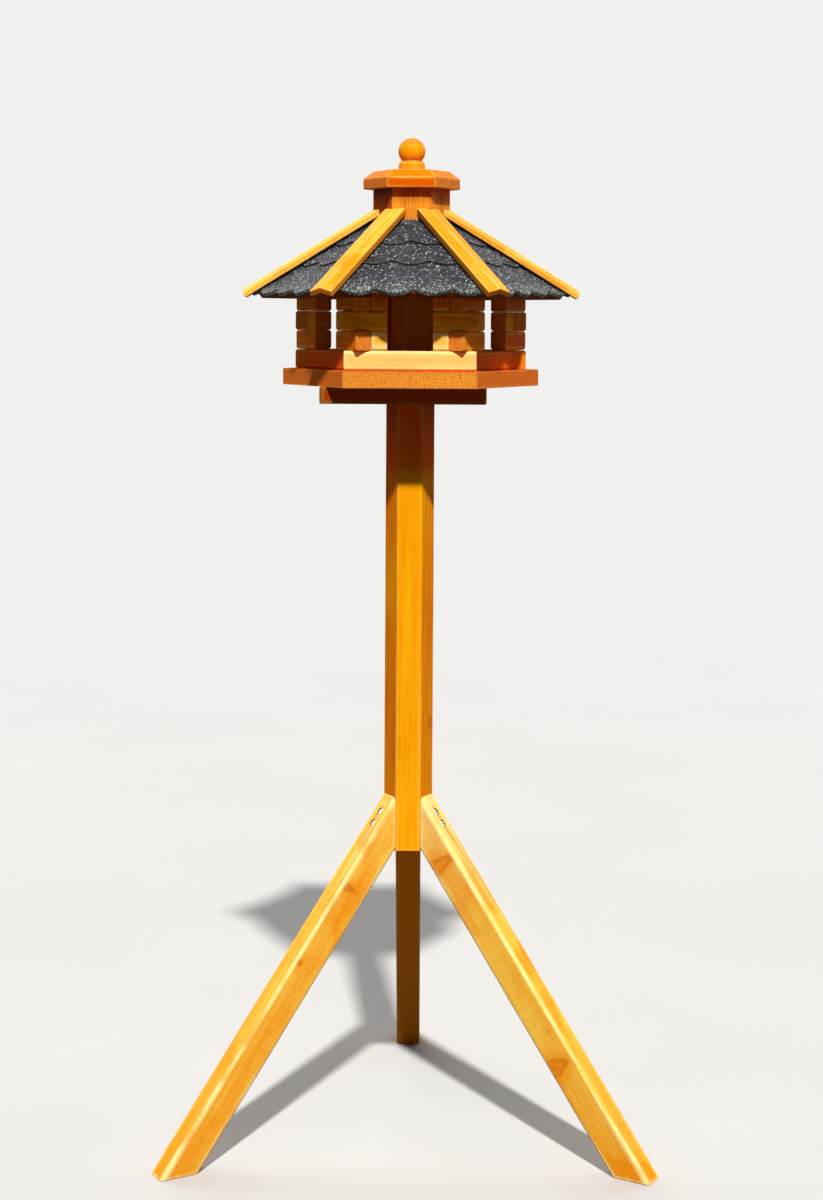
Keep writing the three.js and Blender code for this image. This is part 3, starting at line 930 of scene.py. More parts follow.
def make_post(sizes):
    low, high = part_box("post")
    apothem = (high.y - low.y) / 2
    shape = stick(hexagon(apothem), level(low.z), level(high.z))
    band(ease(shape, sizes.edge), sizes.wear_and_highlight_band)
    start, full = (high.z - below for below in PLATFORM_SHADOW)
    cut_across(shape, start)
    cut_across(shape, full)

    def tone(point, normal):
        """Paler at the front and darker on the sides, as painted light, and darker still in the platform's
        painted shadow.
        """
        plain = POST_TONES["front" if abs(normal.y) > POST_FRONT else "side"]
        if point.z < full:
            return plain + max(0.0, ramp(point.z, (start, full), (0.0, PLATFORM_SHADOW_TONES[0])))
        return plain + ramp(point.z, (full, high.z), PLATFORM_SHADOW_TONES)

    post = Piece()
    grain = Grain("post", knots=POST_KNOTS, pith=POST_PITH, tone=tone)
    post.add(shape, Matrix.Translation(AXIS), grain)
    post.show("post_timber", "amber_pine", ["post"])


LEG_TURNS = {"left": -1, "right": 1, "rear": 3}  # in sides of the house from the front
# Each leg's knots: how far down the leg, and the way they run out from the pith, in degrees
LEG_KNOTS = {
    "left": ((0.148, 253), (0.275, 242), (0.44, 200)),
    "right": ((0.098, 272), (0.428, 280), (0.54, 250)),
    "rear": ((0.2, 250), (0.41, 290)),
}
LEG_TONES = {"left": (-0.15, 0.3), "right": (-0.8, 0.3), "rear": (1.3, 0.95)}  # at tip and foot; the rear leg's darker tip is painted shade
LEG_WEAR_AND_HIGHLIGHT_SHARES = {"left": 1.0, "right": 1.0, "rear": 0.15}  # how worn their edges are, and how strong the painted highlight on them is
LEG_EDGE_STEPS = 6
# Where each leg's pith lies: across the leg, and out from its outer face
LEG_PITHS = {"left": (21 * MM, 6 * MM), "right": (-21 * MM, 6 * MM), "rear": (6 * MM, 30 * MM)}

# A leg's screw hole: a bore, and round it broken wood, down to a depth and up to a lip
BORE_SHARE = 0.6  # the bore's share of the head's radius
BORE_DEPTH = 12 * MM
BROKEN_DEPTH = 3.6 * MM
LIP_DEPTH = 0.25 * MM
CUTTER_RISE = 4 * MM
WALL_SHARE = 1.01  # of the mouth's radius: what lies within it belongs to the hole
LIP_SHARE = 0.9  # of the lip's depth: what lies below it does
TURNED_STEPS = 32


def leg_frame(turn):
    """A leg's own frame: the origin on its tip, X across, Y out of its outer face, Z down it."""
    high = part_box("leg_rear")[1]
    face = size("post").y / 2 + bpy.context.scene.stand_sizes.seat_gap
    reach = high.y - AXIS.y
    lean = math.atan((reach - face) / high.z)
    tip = Matrix.Translation((0, -face, high.z)) @ Matrix.Rotation(math.pi - lean, 4, "X")
    return side_frame(turn) @ tip, lean


def leg_shape(sizes, width, rise, lean):
    """A leg in its own frame, cut to the post at its tip and to the ground at its foot."""
    depth = sizes.leg_depth
    section = [(-width / 2, -depth), (width / 2, -depth), (width / 2, 0), (-width / 2, 0)]
    shape = stick(
        section,
        lambda x, y: -y / math.tan(lean),
        lambda x, y: (rise + y * math.sin(lean)) / math.cos(lean),
    )
    ease(shape, sizes.leg_edge, LEG_EDGE_STEPS, upright)
    ease(shape, sizes.edge, which=square)
    return band(shape, sizes.wear_and_highlight_band)


def screw_hole(head, mouth, along):
    """What a screw this far from a leg's tip takes out of its outer face."""
    bore = head * BORE_SHARE
    profile = [
        (0, -BORE_DEPTH), (bore, -BORE_DEPTH), (bore, -BROKEN_DEPTH), (mouth, -LIP_DEPTH),
        (mouth, CUTTER_RISE), (0, CUTTER_RISE),
    ]
    cutter = turned(profile, TURNED_STEPS)
    out_of_face = Matrix.Translation((0, 0, along)) @ Matrix.Rotation(-math.pi / 2, 4, "X")
    bmesh.ops.transform(cutter, matrix=out_of_face, verts=cutter.verts)
    return cutter


def make_legs(sizes):
    width = size("leg_rear").x
    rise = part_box("leg_rear")[1].z
    head = sizes.screw_head / 2
    mouth = head + sizes.hole_room
    screws = [sizes.from_tip, sizes.from_tip + sizes.spacing]
    for name, turn in LEG_TURNS.items():
        place, lean = leg_frame(turn)
        shape = leg_shape(sizes, width, rise, lean)
        drill(shape, [screw_hole(head, mouth, along) for along in screws])
        foot = rise / math.cos(lean)

        def tone(point, normal):
            """Painted shade inside the screws' holes, and else as the leg is at that height."""
            off = min(math.hypot(point.x, point.z - along) for along in screws)
            if off < mouth * WALL_SHARE and point.y < -LIP_DEPTH * LIP_SHARE:
                return DEEP_SHADE_TONE
            return ramp(point.z, (0.0, foot), LEG_TONES[name])

        leg = Piece()
        knots, pith = LEG_KNOTS[name], LEG_PITHS[name]
        grain = Grain(f"leg {name}", knots=knots, pith=pith, tone=tone, wear_and_highlight=LEG_WEAR_AND_HIGHLIGHT_SHARES[name])
        leg.add(shape, place, grain)
        leg.show(f"leg_{name}_timber", "honey_pine", [f"leg_{name}"])


# A screw's radii and heights, as shares of its head's radius
SCREW_SHARES = {
    "point": 0.159, "shank": 0.53, "cone": 0.75, "rim": 0.94, "crown": 0.96,
    "recess": 0.58, "recess_foot": 0.348, "recess_half": 0.13, "recess_depth": 0.42,
    "recess_top": 0.2,
}
POINT_LENGTH = 2 * MM
TAPER_LENGTH = 6 * MM
RIM_DEPTH = 0.35 * MM
CROWN_DEPTH = 0.1 * MM
RECESS_TURN = 0.4


def screw_shape(head, long):
    """A countersunk screw with a cross recess, its head's face at the origin and its point down."""
    part = {name: head * share for name, share in SCREW_SHARES.items()}
    profile = [
        (0, -long), (part["point"], -long + POINT_LENGTH), (part["shank"], -long + TAPER_LENGTH),
        (part["shank"], -part["cone"]), (part["rim"], -RIM_DEPTH), (head, -CROWN_DEPTH),
        (part["crown"], 0), (0, 0),
    ]
    shape = turned(profile, TURNED_STEPS)
    side = part["recess_half"]
    ends = ((part["recess_foot"], -part["recess_depth"]), (part["recess"], part["recess_top"]))
    arms = []
    for turn in (0, math.pi / 2):
        rings = []
        for half, height in ends:
            corners = ((-half, -side), (half, -side), (half, side), (-half, side))
            rings.append([Vector((x, y, height)) for x, y in corners])
        arm = loft(rings)
        turn_about = Matrix.Rotation(turn + RECESS_TURN, 4, "Z")
        bmesh.ops.transform(arm, matrix=turn_about, verts=arm.verts)
        arms.append(arm)
    return drill(shape, arms)


def show_screw(node, name, head, long, place):
    screw = Piece()
    screw.add(screw_shape(head, long), place, Grain(name))
    screw.show(f"{node}_steel", "zinced_steel", [node])


def make_screws(sizes):
    for name, turn in LEG_TURNS.items():
        place = leg_frame(turn)[0]
        for which, along in (("upper", 0), ("lower", sizes.spacing)):
            spot = Matrix.Translation((0, -sizes.sunk, sizes.from_tip + along))
            lie = place @ spot @ Matrix.Rotation(-math.pi / 2, 4, "X")
            node = f"leg_{name}_screw_{which}"
            show_screw(node, which, sizes.screw_head / 2, sizes.screw_length, lie)
    for node in ("plate_screw_left", "plate_screw_right"):
        low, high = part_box(node)
        centre = middle(node)
        lie = Matrix.Translation((centre.x, centre.y, high.z))
        show_screw(node, node, (high.x - low.x) / 2, high.z - low.z, lie)


# The plate's dark tone is painted shade, as it lies under the platform
PLATE_TONE = 1.6
PLATE_CORNER_STEPS = 5


def make_mounting_plate(sizes):
    low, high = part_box("mounting_plate")
    plan = [(low.x, low.y), (high.x, low.y), (high.x, high.y), (low.x, high.y)]
    shape = stick(plan, level(low.z), level(high.z))
    ease(shape, sizes.plate_corner, PLATE_CORNER_STEPS, upright)
    ease(shape, sizes.edge, which=square)
    band(shape, sizes.wear_and_highlight_band)
    plate = Piece()
    plate.add(shape, grain=Grain("mounting plate", along="X", tone=PLATE_TONE))
    plate.show("mounting_plate_board", "amber_pine", ["mounting_plate"])


def clipped(points, start, end):
    """A convex outline's part between two places along X."""
    for limit, side in ((start, 1), (end, -1)):
        kept = []
        for here, there in zip(points, points[1:] + points[:1]):
            inside = side * (here[0] - limit) >= 0
            if inside:
                kept.append(here)
            if inside != (side * (there[0] - limit) >= 0):
                along = (limit - here[0]) / (there[0] - here[0])
                kept.append((limit, here[1] + along * (there[1] - here[1])))
        points = kept
    return points


# The paler front and darker sides are painted light
PLATFORM_TONES = {"front": -0.5, "side": 0.95}
PLATFORM_FRONT = 0.9  # a face is at the front or back when its normal's Y is over this
SEAM = 0.05 * MM  # half of the gap between two glued boards or mitred logs


def make_platform(sizes):
    low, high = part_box("platform")
    apothem = (high.y - low.y) / 2
    count = math.ceil((high.x - low.x) / sizes.lamella)
    first = -count * sizes.lamella / 2

    def tone(point, normal):
        return PLATFORM_TONES["front" if abs(normal.y) > PLATFORM_FRONT else "side"]

    platform = Piece()
    for k in range(count):
        start = first + k * sizes.lamella + SEAM
        end = start + sizes.lamella - 2 * SEAM
        shape = stick(clipped(hexagon(apothem), start, end), level(low.z), level(high.z))

        def off_seam(edge):
            return any(min(abs(v.co.x - start), abs(v.co.x - end)) >= SEAM for v in edge.verts)

        ease(shape, sizes.edge * EASE_SHARES["platform"], which=off_seam)
        band(shape, sizes.wear_and_highlight_band)
        grain = Grain(f"platform {k}", along="Y", tone=tone)
        platform.add(shape, Matrix.Translation(AXIS), grain)
    platform.show("platform_boards", "amber_pine", ["platform"])


def log_section(sizes):
    """A log's section, from the wall's outer face in, with a groove's half along each long edge."""
    cut = sizes.groove
    outer, inner, top = -WALL_OUTER, -WALL_INNER, LOG_HEIGHT
    return [
        (outer, cut), (outer + cut, 0), (inner - cut, 0), (inner, cut),
        (inner, top - cut), (inner - cut, top), (outer + cut, top), (outer, top - cut),
    ]


def short_end(gap):
    """Where a short log ends, against the inner face of the long log beside it."""
    return lambda y, z: (WALL_INNER - gap + y * math.sin(HALF_TURN)) / math.cos(HALF_TURN)


def mirrored(end):
    return lambda y, z: -end(y, z)


def add_log(piece, name, side, height, start, end, tone, wear_and_highlight=1.0):
    house = bpy.context.scene.house_sizes
    stand = bpy.context.scene.stand_sizes
    shape = stick(log_section(house), start, end)
    band(ease(shape, stand.edge * EASE_SHARES["log"], FINE_STEPS), stand.wear_and_highlight_band)
    place = side_frame(side) @ Matrix.Translation((0, 0, height)) @ ALONG_X
    piece.add(shape, place, Grain(name, tone=tone, wear_and_highlight=wear_and_highlight))


# Each rail's finish, its tone, and how worn its edges are and how strong their painted highlight
RAILS = {
    "front": ("honey_pine", -0.75, 1.0),
    "front_right": ("amber_pine", 0.7, 0.15),
    "back_right": ("honey_pine", 0.1, 0.3),
    "back": ("honey_pine", 0.0, 0.3),
    "back_left": ("honey_pine", 0.2, 0.3),
    "front_left": ("amber_pine", 0.7, 0.15),
}


def make_rails(sizes):
    short = short_end(sizes.seat_gap)
    long_ends = (level(-LONG_END), level(LONG_END))
    short_ends = (mirrored(short), short)
    for k, (name, (finish, tone, wear_and_highlight)) in enumerate(RAILS.items()):
        start, end = short_ends if k % 2 else long_ends
        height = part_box(f"rail_{name}")[0].z
        rail = Piece()
        add_log(rail, f"rail {name}", k, height, start, end, tone, wear_and_highlight)
        rail.show(f"rail_{name}_log", finish, [f"rail_{name}"])


COURSE_TONES = (0.35, 0.1, 0.55)  # of the corners' logs, from the lowest course up; their darkness is partly painted shade under the roof
COURSE_SPREAD = 0.1  # how far a log's tone strays from its course's
PAINTED_SUN_TONES = (-1.0, 0.1)  # painted sunlight on the front logs of the lowest course: their tone at the foot and at the top


def painted_sun_tone(point, normal):
    return ramp(point.y, (0.0, LOG_HEIGHT), PAINTED_SUN_TONES)


def make_corners(sizes):
    short = short_end(sizes.seat_gap)
    for k, name in enumerate(CORNER_NAMES):
        for course in range(1, COURSES + 1):
            node = f"corner_{name}_course_{course}"
            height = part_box(node)[0].z
            first_is_long = (k + course) % 2 == 0
            first_end = level(LONG_END) if first_is_long else short
            second_end = short if first_is_long else level(LONG_END)
            logs = (
                ("a", k, level(WINDOW_EDGE), first_end),
                ("b", k + 1, mirrored(second_end), level(-WINDOW_EDGE)),
            )
            chance = random.Random(node)
            for label, side, start, end in logs:
                # The front logs of the lowest course take the paler pine and painted sunlight
                if course == 1 and side % SIDES == 0:
                    finish, tone = "honey_pine", painted_sun_tone
                else:
                    stray = chance.uniform(-COURSE_SPREAD, COURSE_SPREAD)
                    finish, tone = "amber_pine", COURSE_TONES[course - 1] + stray
                log = Piece()
                add_log(log, f"{node} {label}", side, height, start, end, tone)
                log.show(f"{node}_log_{label}", finish, [node])


RING_TONE = 0.1


def make_top_ring(sizes):
    low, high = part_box("top_ring")
    outer, inner = WALL_OUTER, WALL_INNER
    rise = high.z - low.z
    section = [(-outer, 0), (-inner, 0), (-inner, rise), (-outer, sizes.ring_height)]
    edge = bpy.context.scene.stand_sizes.edge * EASE_SHARES["log"]

    def mitre(y, z):
        return -y * math.tan(HALF_TURN) - SEAM

    ring = Piece()
    for k, name in enumerate(SIDE_NAMES):
        shape = ease(stick(section, mirrored(mitre), mitre), edge, FINE_STEPS)
        place = side_frame(k) @ Matrix.Translation((0, 0, low.z)) @ ALONG_X
        ring.add(shape, place, Grain(f"ring {name}", tone=RING_TONE))
    ring.show("top_ring_logs", "amber_pine", ["top_ring"])


SILO_TONES = (0.0, -0.35, 0.9)  # at the foot, at the neck, paler as painted sunlight, and at the head, dark as the cap's painted shadow
CAP_SHADOW_DEPTH = 30 * MM  # how far down the cap's painted shadow reaches on the silo
SHADED_SIDE = ("front_left", 1.0)  # the silo's side with painted shade, and how much darker it is
STAVE_SEAM = 0.02 * MM
STAVE_EDGE = 0.5 * MM


def stave_outline(part, edge, slot, glue, rise, height):
    """The outline of a side's left or right stave, which meet at the glue line over the slot."""
    if part == "left":
        foot = [(-edge, 0), (-slot, 0), (-slot, rise), (glue, rise)]
        return foot + [(glue, height), (-edge, height)]
    return [(glue, rise), (slot, rise), (slot, 0), (edge, 0), (edge, height), (glue, height)]


def stave_tone(height, cap_shadow_edge, darker):
    """A stave's tone at each height, with painted sunlight on the neck and the cap's painted shadow at the
    head, this much darker than that of the other sides, as painted shade.
    """
    foot, neck, head = SILO_TONES

    def tone(point, normal):
        if point.z < cap_shadow_edge:
            return ramp(point.z, (0.0, cap_shadow_edge), (foot, neck)) + darker
        return ramp(point.z, (cap_shadow_edge, height), (neck, head)) + darker

    return tone


def make_silo(sizes):
    low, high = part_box("silo")
    height = high.z - low.z
    slot = SILO_RADIUS / 2 - sizes.silo_foot
    glue = -SILO_RADIUS / 2 * sizes.glue_line
    cap_shadow_edge = height - CAP_SHADOW_DEPTH
    silo = Piece()
    for k, name in enumerate(SIDE_NAMES):
        tone = stave_tone(height, cap_shadow_edge, SHADED_SIDE[1] if name == SHADED_SIDE[0] else 0.0)
        for part in ("left", "right"):
            rings = []
            for apothem in (SILO_APOTHEM, SILO_APOTHEM - sizes.silo_wall):
                edge = apothem * math.tan(HALF_TURN) - STAVE_SEAM
                outline = stave_outline(part, edge, slot, glue, sizes.slot_height, height)
                rings.append([Vector((x, -apothem, z)) for x, z in outline])
            shape = ease(loft(rings), STAVE_EDGE, FINE_STEPS)
            cut_across(shape, cap_shadow_edge)
            place = side_frame(k) @ Matrix.Translation((0, 0, low.z))
            silo.add(shape, place, Grain(f"stave {name} {part}", tone=tone))
    silo.show("silo_staves", "red_pine", ["silo"])


class RoofPlane:
    """One side of the roof: X along the eave, Y up the slope from the eave, Z out of the roof."""

    def __init__(self, peak):
        self.lift = Matrix.Translation((0, 0, peak)) @ Matrix.Rotation(ROOF_PITCH, 4, "X")

    def half_width(self, y, z, gap):
        """From the side's middle to the hip, less half of the gap to the next side."""
        out = -(y * math.cos(ROOF_PITCH) - z * math.sin(ROOF_PITCH))
        return out * math.tan(HALF_TURN) - gap / 2 * TO_CORNER

    def near(self, z, gap):
        """Where the slope meets the silo, at a height over the roof's plane."""
        return (-(SILO_APOTHEM + gap) + z * math.sin(ROOF_PITCH)) / math.cos(ROOF_PITCH)


def down_slope(apothem):
    return apothem / math.cos(ROOF_PITCH)


def board_peak(house, roof, gap):
    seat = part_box("top_ring")[0].z + house.ring_height + gap
    return seat + pitch_height(WALL_OUTER) + roof.board / math.cos(ROOF_PITCH)


def shingle_peak(house, roof, gap):
    return board_peak(house, roof, gap) + gap / math.cos(ROOF_PITCH)


BOARD_ROWS = 3
BOARD_SEAM = 0.1 * MM  # half of the gap between two boards of a side
BOARD_EDGE = 0.8 * MM
# The boards' dark tone is painted shade, as they lie under the felt
BOARD_TONE = 1.7


def make_roof_boards(house, roof, gap):
    plane = RoofPlane(board_peak(house, roof, gap))
    eave = -down_slope(WALL_OUTER + roof.board_overhang)
    step = (plane.near(0, gap) - eave) / BOARD_ROWS
    for k, name in enumerate(SIDE_NAMES):
        panel = Piece()
        for row in range(BOARD_ROWS):
            rings = []
            for z in (-roof.board, 0):
                low = eave + row * step + BOARD_SEAM
                at_silo = row == BOARD_ROWS - 1
                high = plane.near(z, gap) if at_silo else low + step - 2 * BOARD_SEAM
                wide = plane.half_width(low, z, gap)
                slim = plane.half_width(high, z, gap)
                corners = [(-wide, low), (wide, low), (slim, high), (-slim, high)]
                rings.append([Vector((x, y, z)) for x, y in corners])
            shape = ease(loft(rings), BOARD_EDGE, FINE_STEPS)
            grain = Grain(f"roof {name} {row}", along="X", tone=BOARD_TONE)
            panel.add(shape, side_frame(k) @ plane.lift, grain)
        panel.show(f"roof_board_{name}_boards", "red_pine", [f"roof_board_{name}"])


LOBE_STEPS = 20
FELT_ROWS = 12
ROW_SPREAD = 1.3  # the power that packs the rows towards the lobes
EDGE_PASSES = 4  # a lobe's edge and its width depend on each other, and settle in this many
FELT_WAVE = 0.35 * MM  # how uneven the felt's upper side is
WAVE_SCALE = 45  # per metre
FELT_EDGE = 0.7 * MM
FELT_CORNER = math.radians(50)
BUTT_RISE = 0.985  # a felt point whose normal rises less than this lies on a course's cut edge
EAVE_CLEAR = 15 * MM  # the eave's own edge, this far up, is covered with granules
EAVE_REACH = 40 * MM  # how far up from the eave the felt is weathered


def felt_course(plane, roof, gap, foot, head, shift, under, seed):
    """One course of felt: lobes along its lower edge, thick there and thinner up the slope."""
    shape = new_shape()
    widest = plane.half_width(-foot, 0, gap)
    columns = 2 * math.ceil(widest / (roof.lobe_pitch / LOBE_STEPS))

    def lower_edge(across):
        """The notched edge where the column meets it."""
        y = -foot
        for _ in range(EDGE_PASSES):
            x = across * plane.half_width(y, 0, gap)
            rise = 1 - abs(math.sin(math.pi * (x - shift) / roof.lobe_pitch))
            y = -foot + rise * roof.lobe_depth
        return y

    def surface(across, y, over):
        """A point on the course's upper or lower surface."""
        top = ramp(y, (-foot, -head), (roof.butt, roof.tail))
        if over:
            x = across * plane.half_width(y, top, gap)
            wave = noise.noise(Vector((x, y, seed)) * WAVE_SCALE) * FELT_WAVE
            return (x, y, top + wave - FELT_WAVE)
        z = max(0.0, top - under)
        return (across * plane.half_width(y, z, gap), y, z)

    grids = []
    for over in (False, True):
        grid = []
        for i in range(columns + 1):
            across = 2 * i / columns - 1
            edge = lower_edge(across)
            ups = [(j / FELT_ROWS) ** ROW_SPREAD for j in range(FELT_ROWS + 1)]
            places = [edge + up * (-head - edge) for up in ups]
            grid.append([shape.verts.new(surface(across, y, over)) for y in places])
        grids.append(grid)
    for i in range(columns):
        for j in range(FELT_ROWS):
            for g in grids:
                shape.faces.new((g[i][j], g[i + 1][j], g[i + 1][j + 1], g[i][j + 1]))
    low, high = grids
    for i in range(columns):
        for j in (0, -1):
            shape.faces.new((low[i][j], low[i + 1][j], high[i + 1][j], high[i][j]))
    for j in range(FELT_ROWS):
        for i in (0, columns):
            shape.faces.new((low[i][j], low[i][j + 1], high[i][j + 1], high[i][j]))
    bmesh.ops.recalc_face_normals(shape, faces=shape.faces)
    rim = [edge for edge in shape.edges if edge.calc_face_angle() > FELT_CORNER]
    return bevel(shape, rim, FELT_EDGE, FINE_STEPS)


def write_felt(shape, seed, foot):
    """Writes the felt's own frame, how near the eave each point lies, and its bare cut edges."""
    shape.normal_update()
    places = shape.verts.layers.float_vector["timber"]
    tones = shape.verts.layers.float["tone"]
    edges = shape.verts.layers.float["edge"]
    for vert in shape.verts:
        up = vert.co.y + foot
        vert[places] = vert.co + Vector((seed, 0, 0))
        vert[tones] = max(0.0, 1 - up / EAVE_REACH)
        vert[edges] = float(vert.normal.z < BUTT_RISE and up > EAVE_CLEAR)


def make_shingles(house, roof, gap):
    plane = RoofPlane(shingle_peak(house, roof, gap))
    eave = down_slope(WALL_OUTER + roof.eave_overhang)
    mid = eave - roof.eave_exposure
    upper = mid - roof.middle_exposure
    courses = (
        (eave, mid - roof.lap, roof.eave_shift, roof.butt),
        (mid, upper - roof.lap, roof.lobe_pitch / 2, roof.tail),
        (upper, -plane.near(roof.butt, gap), 0, roof.tail),
    )
    for k, name in enumerate(SIDE_NAMES):
        felt = Piece()
        for row, (foot, head, shift, under) in enumerate(courses):
            seed = k + row / len(courses)
            shape = felt_course(plane, roof, gap, foot, head, shift, under, seed)
            write_felt(shape, seed, eave)
            felt.add(shape, side_frame(k) @ plane.lift)
        for side in (-1, 1):
            shape = hip_felt(plane, roof, gap, side)
            write_felt(shape, k + side, eave)
            felt.add(shape, side_frame(k) @ plane.lift)
        felt.show(f"shingles_{name}_felt", "bitumen_felt", [f"shingles_{name}"])


def hip_felt(plane, roof, gap, side):
    """The doubled felt along one hip, which lifts the hip strip clear of the courses."""
    low = -down_slope(WALL_OUTER + roof.board_overhang)
    rings = []
    for z in (0, roof.butt + roof.hip_rise):
        high = plane.near(z, gap)
        wide = plane.half_width(low, z, gap)
        slim = plane.half_width(high, z, gap)
        edge = min(roof.hip_width, slim)
        corners = [(wide, low), (slim, high), (slim - edge, high), (wide - edge, low)]
        rings.append([Vector((side * x, y, z)) for x, y in corners])
    return ease(loft(rings), FELT_EDGE, FINE_STEPS)


# Each hip strip's tone, and how much darker its narrow sides and its ends are, as painted shade
STRIP_TONES = {
    "front_right": (0.35, 1.3),
    "right": (-0.35, 0.1),
    "back_right": (0.0, 0.6),
    "back_left": (0.0, 0.6),
    "left": (-0.35, 0.1),
    "front_left": (0.1, 1.3),
}
STRIP_SIDE = 0.6  # a face is a narrow side or an end when its normal's X or Z is over this
STRIP_WEAR_AND_HIGHLIGHT_SHARE = 0.3  # how worn a strip's edges are and how strong their painted highlight, beside those of a leg
STRIP_EDGE = 1.2 * MM
STRIP_CUT = math.radians(20)  # how far from plumb a strip's lower end is cut


def make_hip_strips(house, roof, gap):
    # The section folds at the hip, so that each half lies flat on its side of the roof
    across = math.sin(ROOF_PITCH) * math.sin(HALF_TURN)
    up = math.sin(ROOF_PITCH) * math.cos(HALF_TURN) * math.sin(HIP_PITCH)
    up += math.cos(ROOF_PITCH) * math.cos(HIP_PITCH)
    half = roof.strip_width / 2
    fall = half * across / up
    thick = roof.strip_thickness
    section = [
        (-half, -fall), (0, 0), (half, -fall),
        (half, thick - fall), (0, thick), (-half, thick - fall),
    ]
    corner = (WALL_OUTER + roof.eave_overhang) * TO_CORNER
    tip = (corner + roof.strip_tail) / math.cos(HIP_PITCH)
    tilt = math.tan(STRIP_CUT - HIP_PITCH)
    peak = shingle_peak(house, roof, gap) + (roof.butt + roof.hip_rise + gap) / math.cos(ROOF_PITCH)
    wear_and_highlight_band = bpy.context.scene.stand_sizes.wear_and_highlight_band * BAND_SHARES["strip"]

    def at_silo(x, y):
        out = (SILO_APOTHEM + gap - abs(x) * math.sin(HALF_TURN)) / math.cos(HALF_TURN)
        return (out - y * math.sin(HIP_PITCH)) / math.cos(HIP_PITCH)

    lay = Matrix.Translation((0, 0, peak)) @ Matrix.Rotation(HIP_PITCH + math.pi / 2, 4, "X")
    for k, name in enumerate(CORNER_NAMES):
        base, darker = STRIP_TONES[name]

        # Painted shade on the narrow sides and the ends
        def tone(point, normal):
            return base + darker * (max(abs(normal.x), abs(normal.z)) > STRIP_SIDE)

        shape = stick(section, at_silo, lambda x, y: tip + (y - thick) * tilt)
        band(ease(shape, STRIP_EDGE), wear_and_highlight_band)
        strip = Piece()
        grain = Grain(f"strip {name}", tone=tone, wear_and_highlight=STRIP_WEAR_AND_HIGHLIGHT_SHARE)
        strip.add(shape, corner_frame(k) @ lay, grain)
        strip.show(f"hip_strip_{name}_moulding", "honey_pine", [f"hip_strip_{name}"])


CAP_TONES = {"chamfer": 0.5, "front": 0.9, "side": 0.55}
CAP_CHAMFER = 0.3  # a face is on the chamfer or the top when its normal's Z is over this
CAP_FRONT = 0.5  # an upright face is at the front or back when its normal's X is under this


def make_cap(house, roof):
    low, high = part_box("cap")
    foot = low.z + roof.cap_plug
    edge = (high.x - low.x) / 2 * math.cos(HALF_TURN)
    plug = (SILO_RADIUS - house.silo_wall * TO_CORNER - roof.plug_clearance) * math.cos(HALF_TURN)
    rings = [
        hexagon(plug, low.z), hexagon(plug, foot), hexagon(edge, foot),
        hexagon(edge, foot + roof.cap_edge), hexagon(edge - roof.cap_inset, high.z),
    ]
    stand = bpy.context.scene.stand_sizes
    shape = ease(loft(rings), stand.edge * EASE_SHARES["cap"])
    band(shape, stand.wear_and_highlight_band * BAND_SHARES["cap"])

    def tone(point, normal):
        """Darkest on the upright face at the front, and lightest on the chamfer."""
        if normal.z > CAP_CHAMFER:
            return CAP_TONES["chamfer"]
        return CAP_TONES["front" if abs(normal.x) < CAP_FRONT else "side"]

    cap = Piece()
    cap.add(shape, Matrix.Translation(AXIS), Grain("cap", along="X", tone=tone))
    cap.show("cap_lid", "amber_pine", ["cap"], body="cap")


KNOB_STEPS = 96
COLLAR_STEPS = 10
BALL_STEPS = 40
COLLAR_INSET = 0.5 * MM  # how far the collar stays inside the CAD's
COLLAR_FOOT = 1 * MM  # chamfer along the collar's foot
KNOB_PITH = (4 * MM, 30 * MM)
KNOB_TONE = -0.05


def make_knob(roof):
    low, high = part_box("knob")
    seat = low.z + roof.tenon_depth
    ball = roof.ball / 2
    centre = high.z - ball
    collar_top = seat + roof.collar_height
    outer = (high.x - low.x) / 2 - COLLAR_INSET
    rounding = roof.collar_round
    profile = [
        (0, low.z), (roof.tenon / 2, low.z), (roof.tenon / 2, seat),
        (outer - COLLAR_FOOT, seat), (outer, seat + COLLAR_FOOT),
    ]
    for i in range(COLLAR_STEPS + 1):
        angle = math.pi / 2 * i / COLLAR_STEPS
        profile.append((
            outer - rounding + rounding * math.cos(angle),
            collar_top - rounding + rounding * math.sin(angle),
        ))
    start = -math.asin((centre - collar_top) / ball)
    for i in range(BALL_STEPS):
        angle = start + (math.pi / 2 - start) * i / BALL_STEPS
        profile.append((ball * math.cos(angle), centre + ball * math.sin(angle)))
    profile.append((0, high.z))
    knob = Piece()
    grain = Grain("knob", pith=KNOB_PITH, tone=KNOB_TONE)
    knob.add(turned(profile, KNOB_STEPS), Matrix.Translation(AXIS), grain)
    knob.show("knob_turning", "amber_pine", ["knob"], body="cap")


# The stage

# The camera that was fitted to the photograph, its turns in radians
FOCAL_PIXELS = 2094.23
PHOTO_HEIGHT = 1200
SENSOR = 36.0
CENTRE_ABOVE = 200  # pixels from the middle of the photograph up to the lens's axis
CAMERA_PLACE = (0.02088, -3.20776, 1.21709)
CAMERA_YAW = 0.0062
CAMERA_PITCH = 0.0395
CAMERA_ROLL = 0.0059
CAMERA_RANGE = 100.0


def make_camera():
    data = bpy.data.cameras.new("camera")
    data.sensor_width = SENSOR
    data.lens = FOCAL_PIXELS * SENSOR / PHOTO_HEIGHT
    data.shift_y = -CENTRE_ABOVE / PHOTO_HEIGHT
    data.clip_end = CAMERA_RANGE
    camera = bpy.data.objects.new("camera", data)
    bpy.context.scene.collection.objects.link(camera)
    turn = Matrix.Rotation(CAMERA_YAW, 4, "Z")
    tip = Matrix.Rotation(math.pi / 2 - CAMERA_PITCH, 4, "X")
    roll = Matrix.Rotation(CAMERA_ROLL, 4, "Z")
    camera.matrix_world = Matrix.Translation(CAMERA_PLACE) @ turn @ tip @ roll
    bpy.context.scene.camera = camera


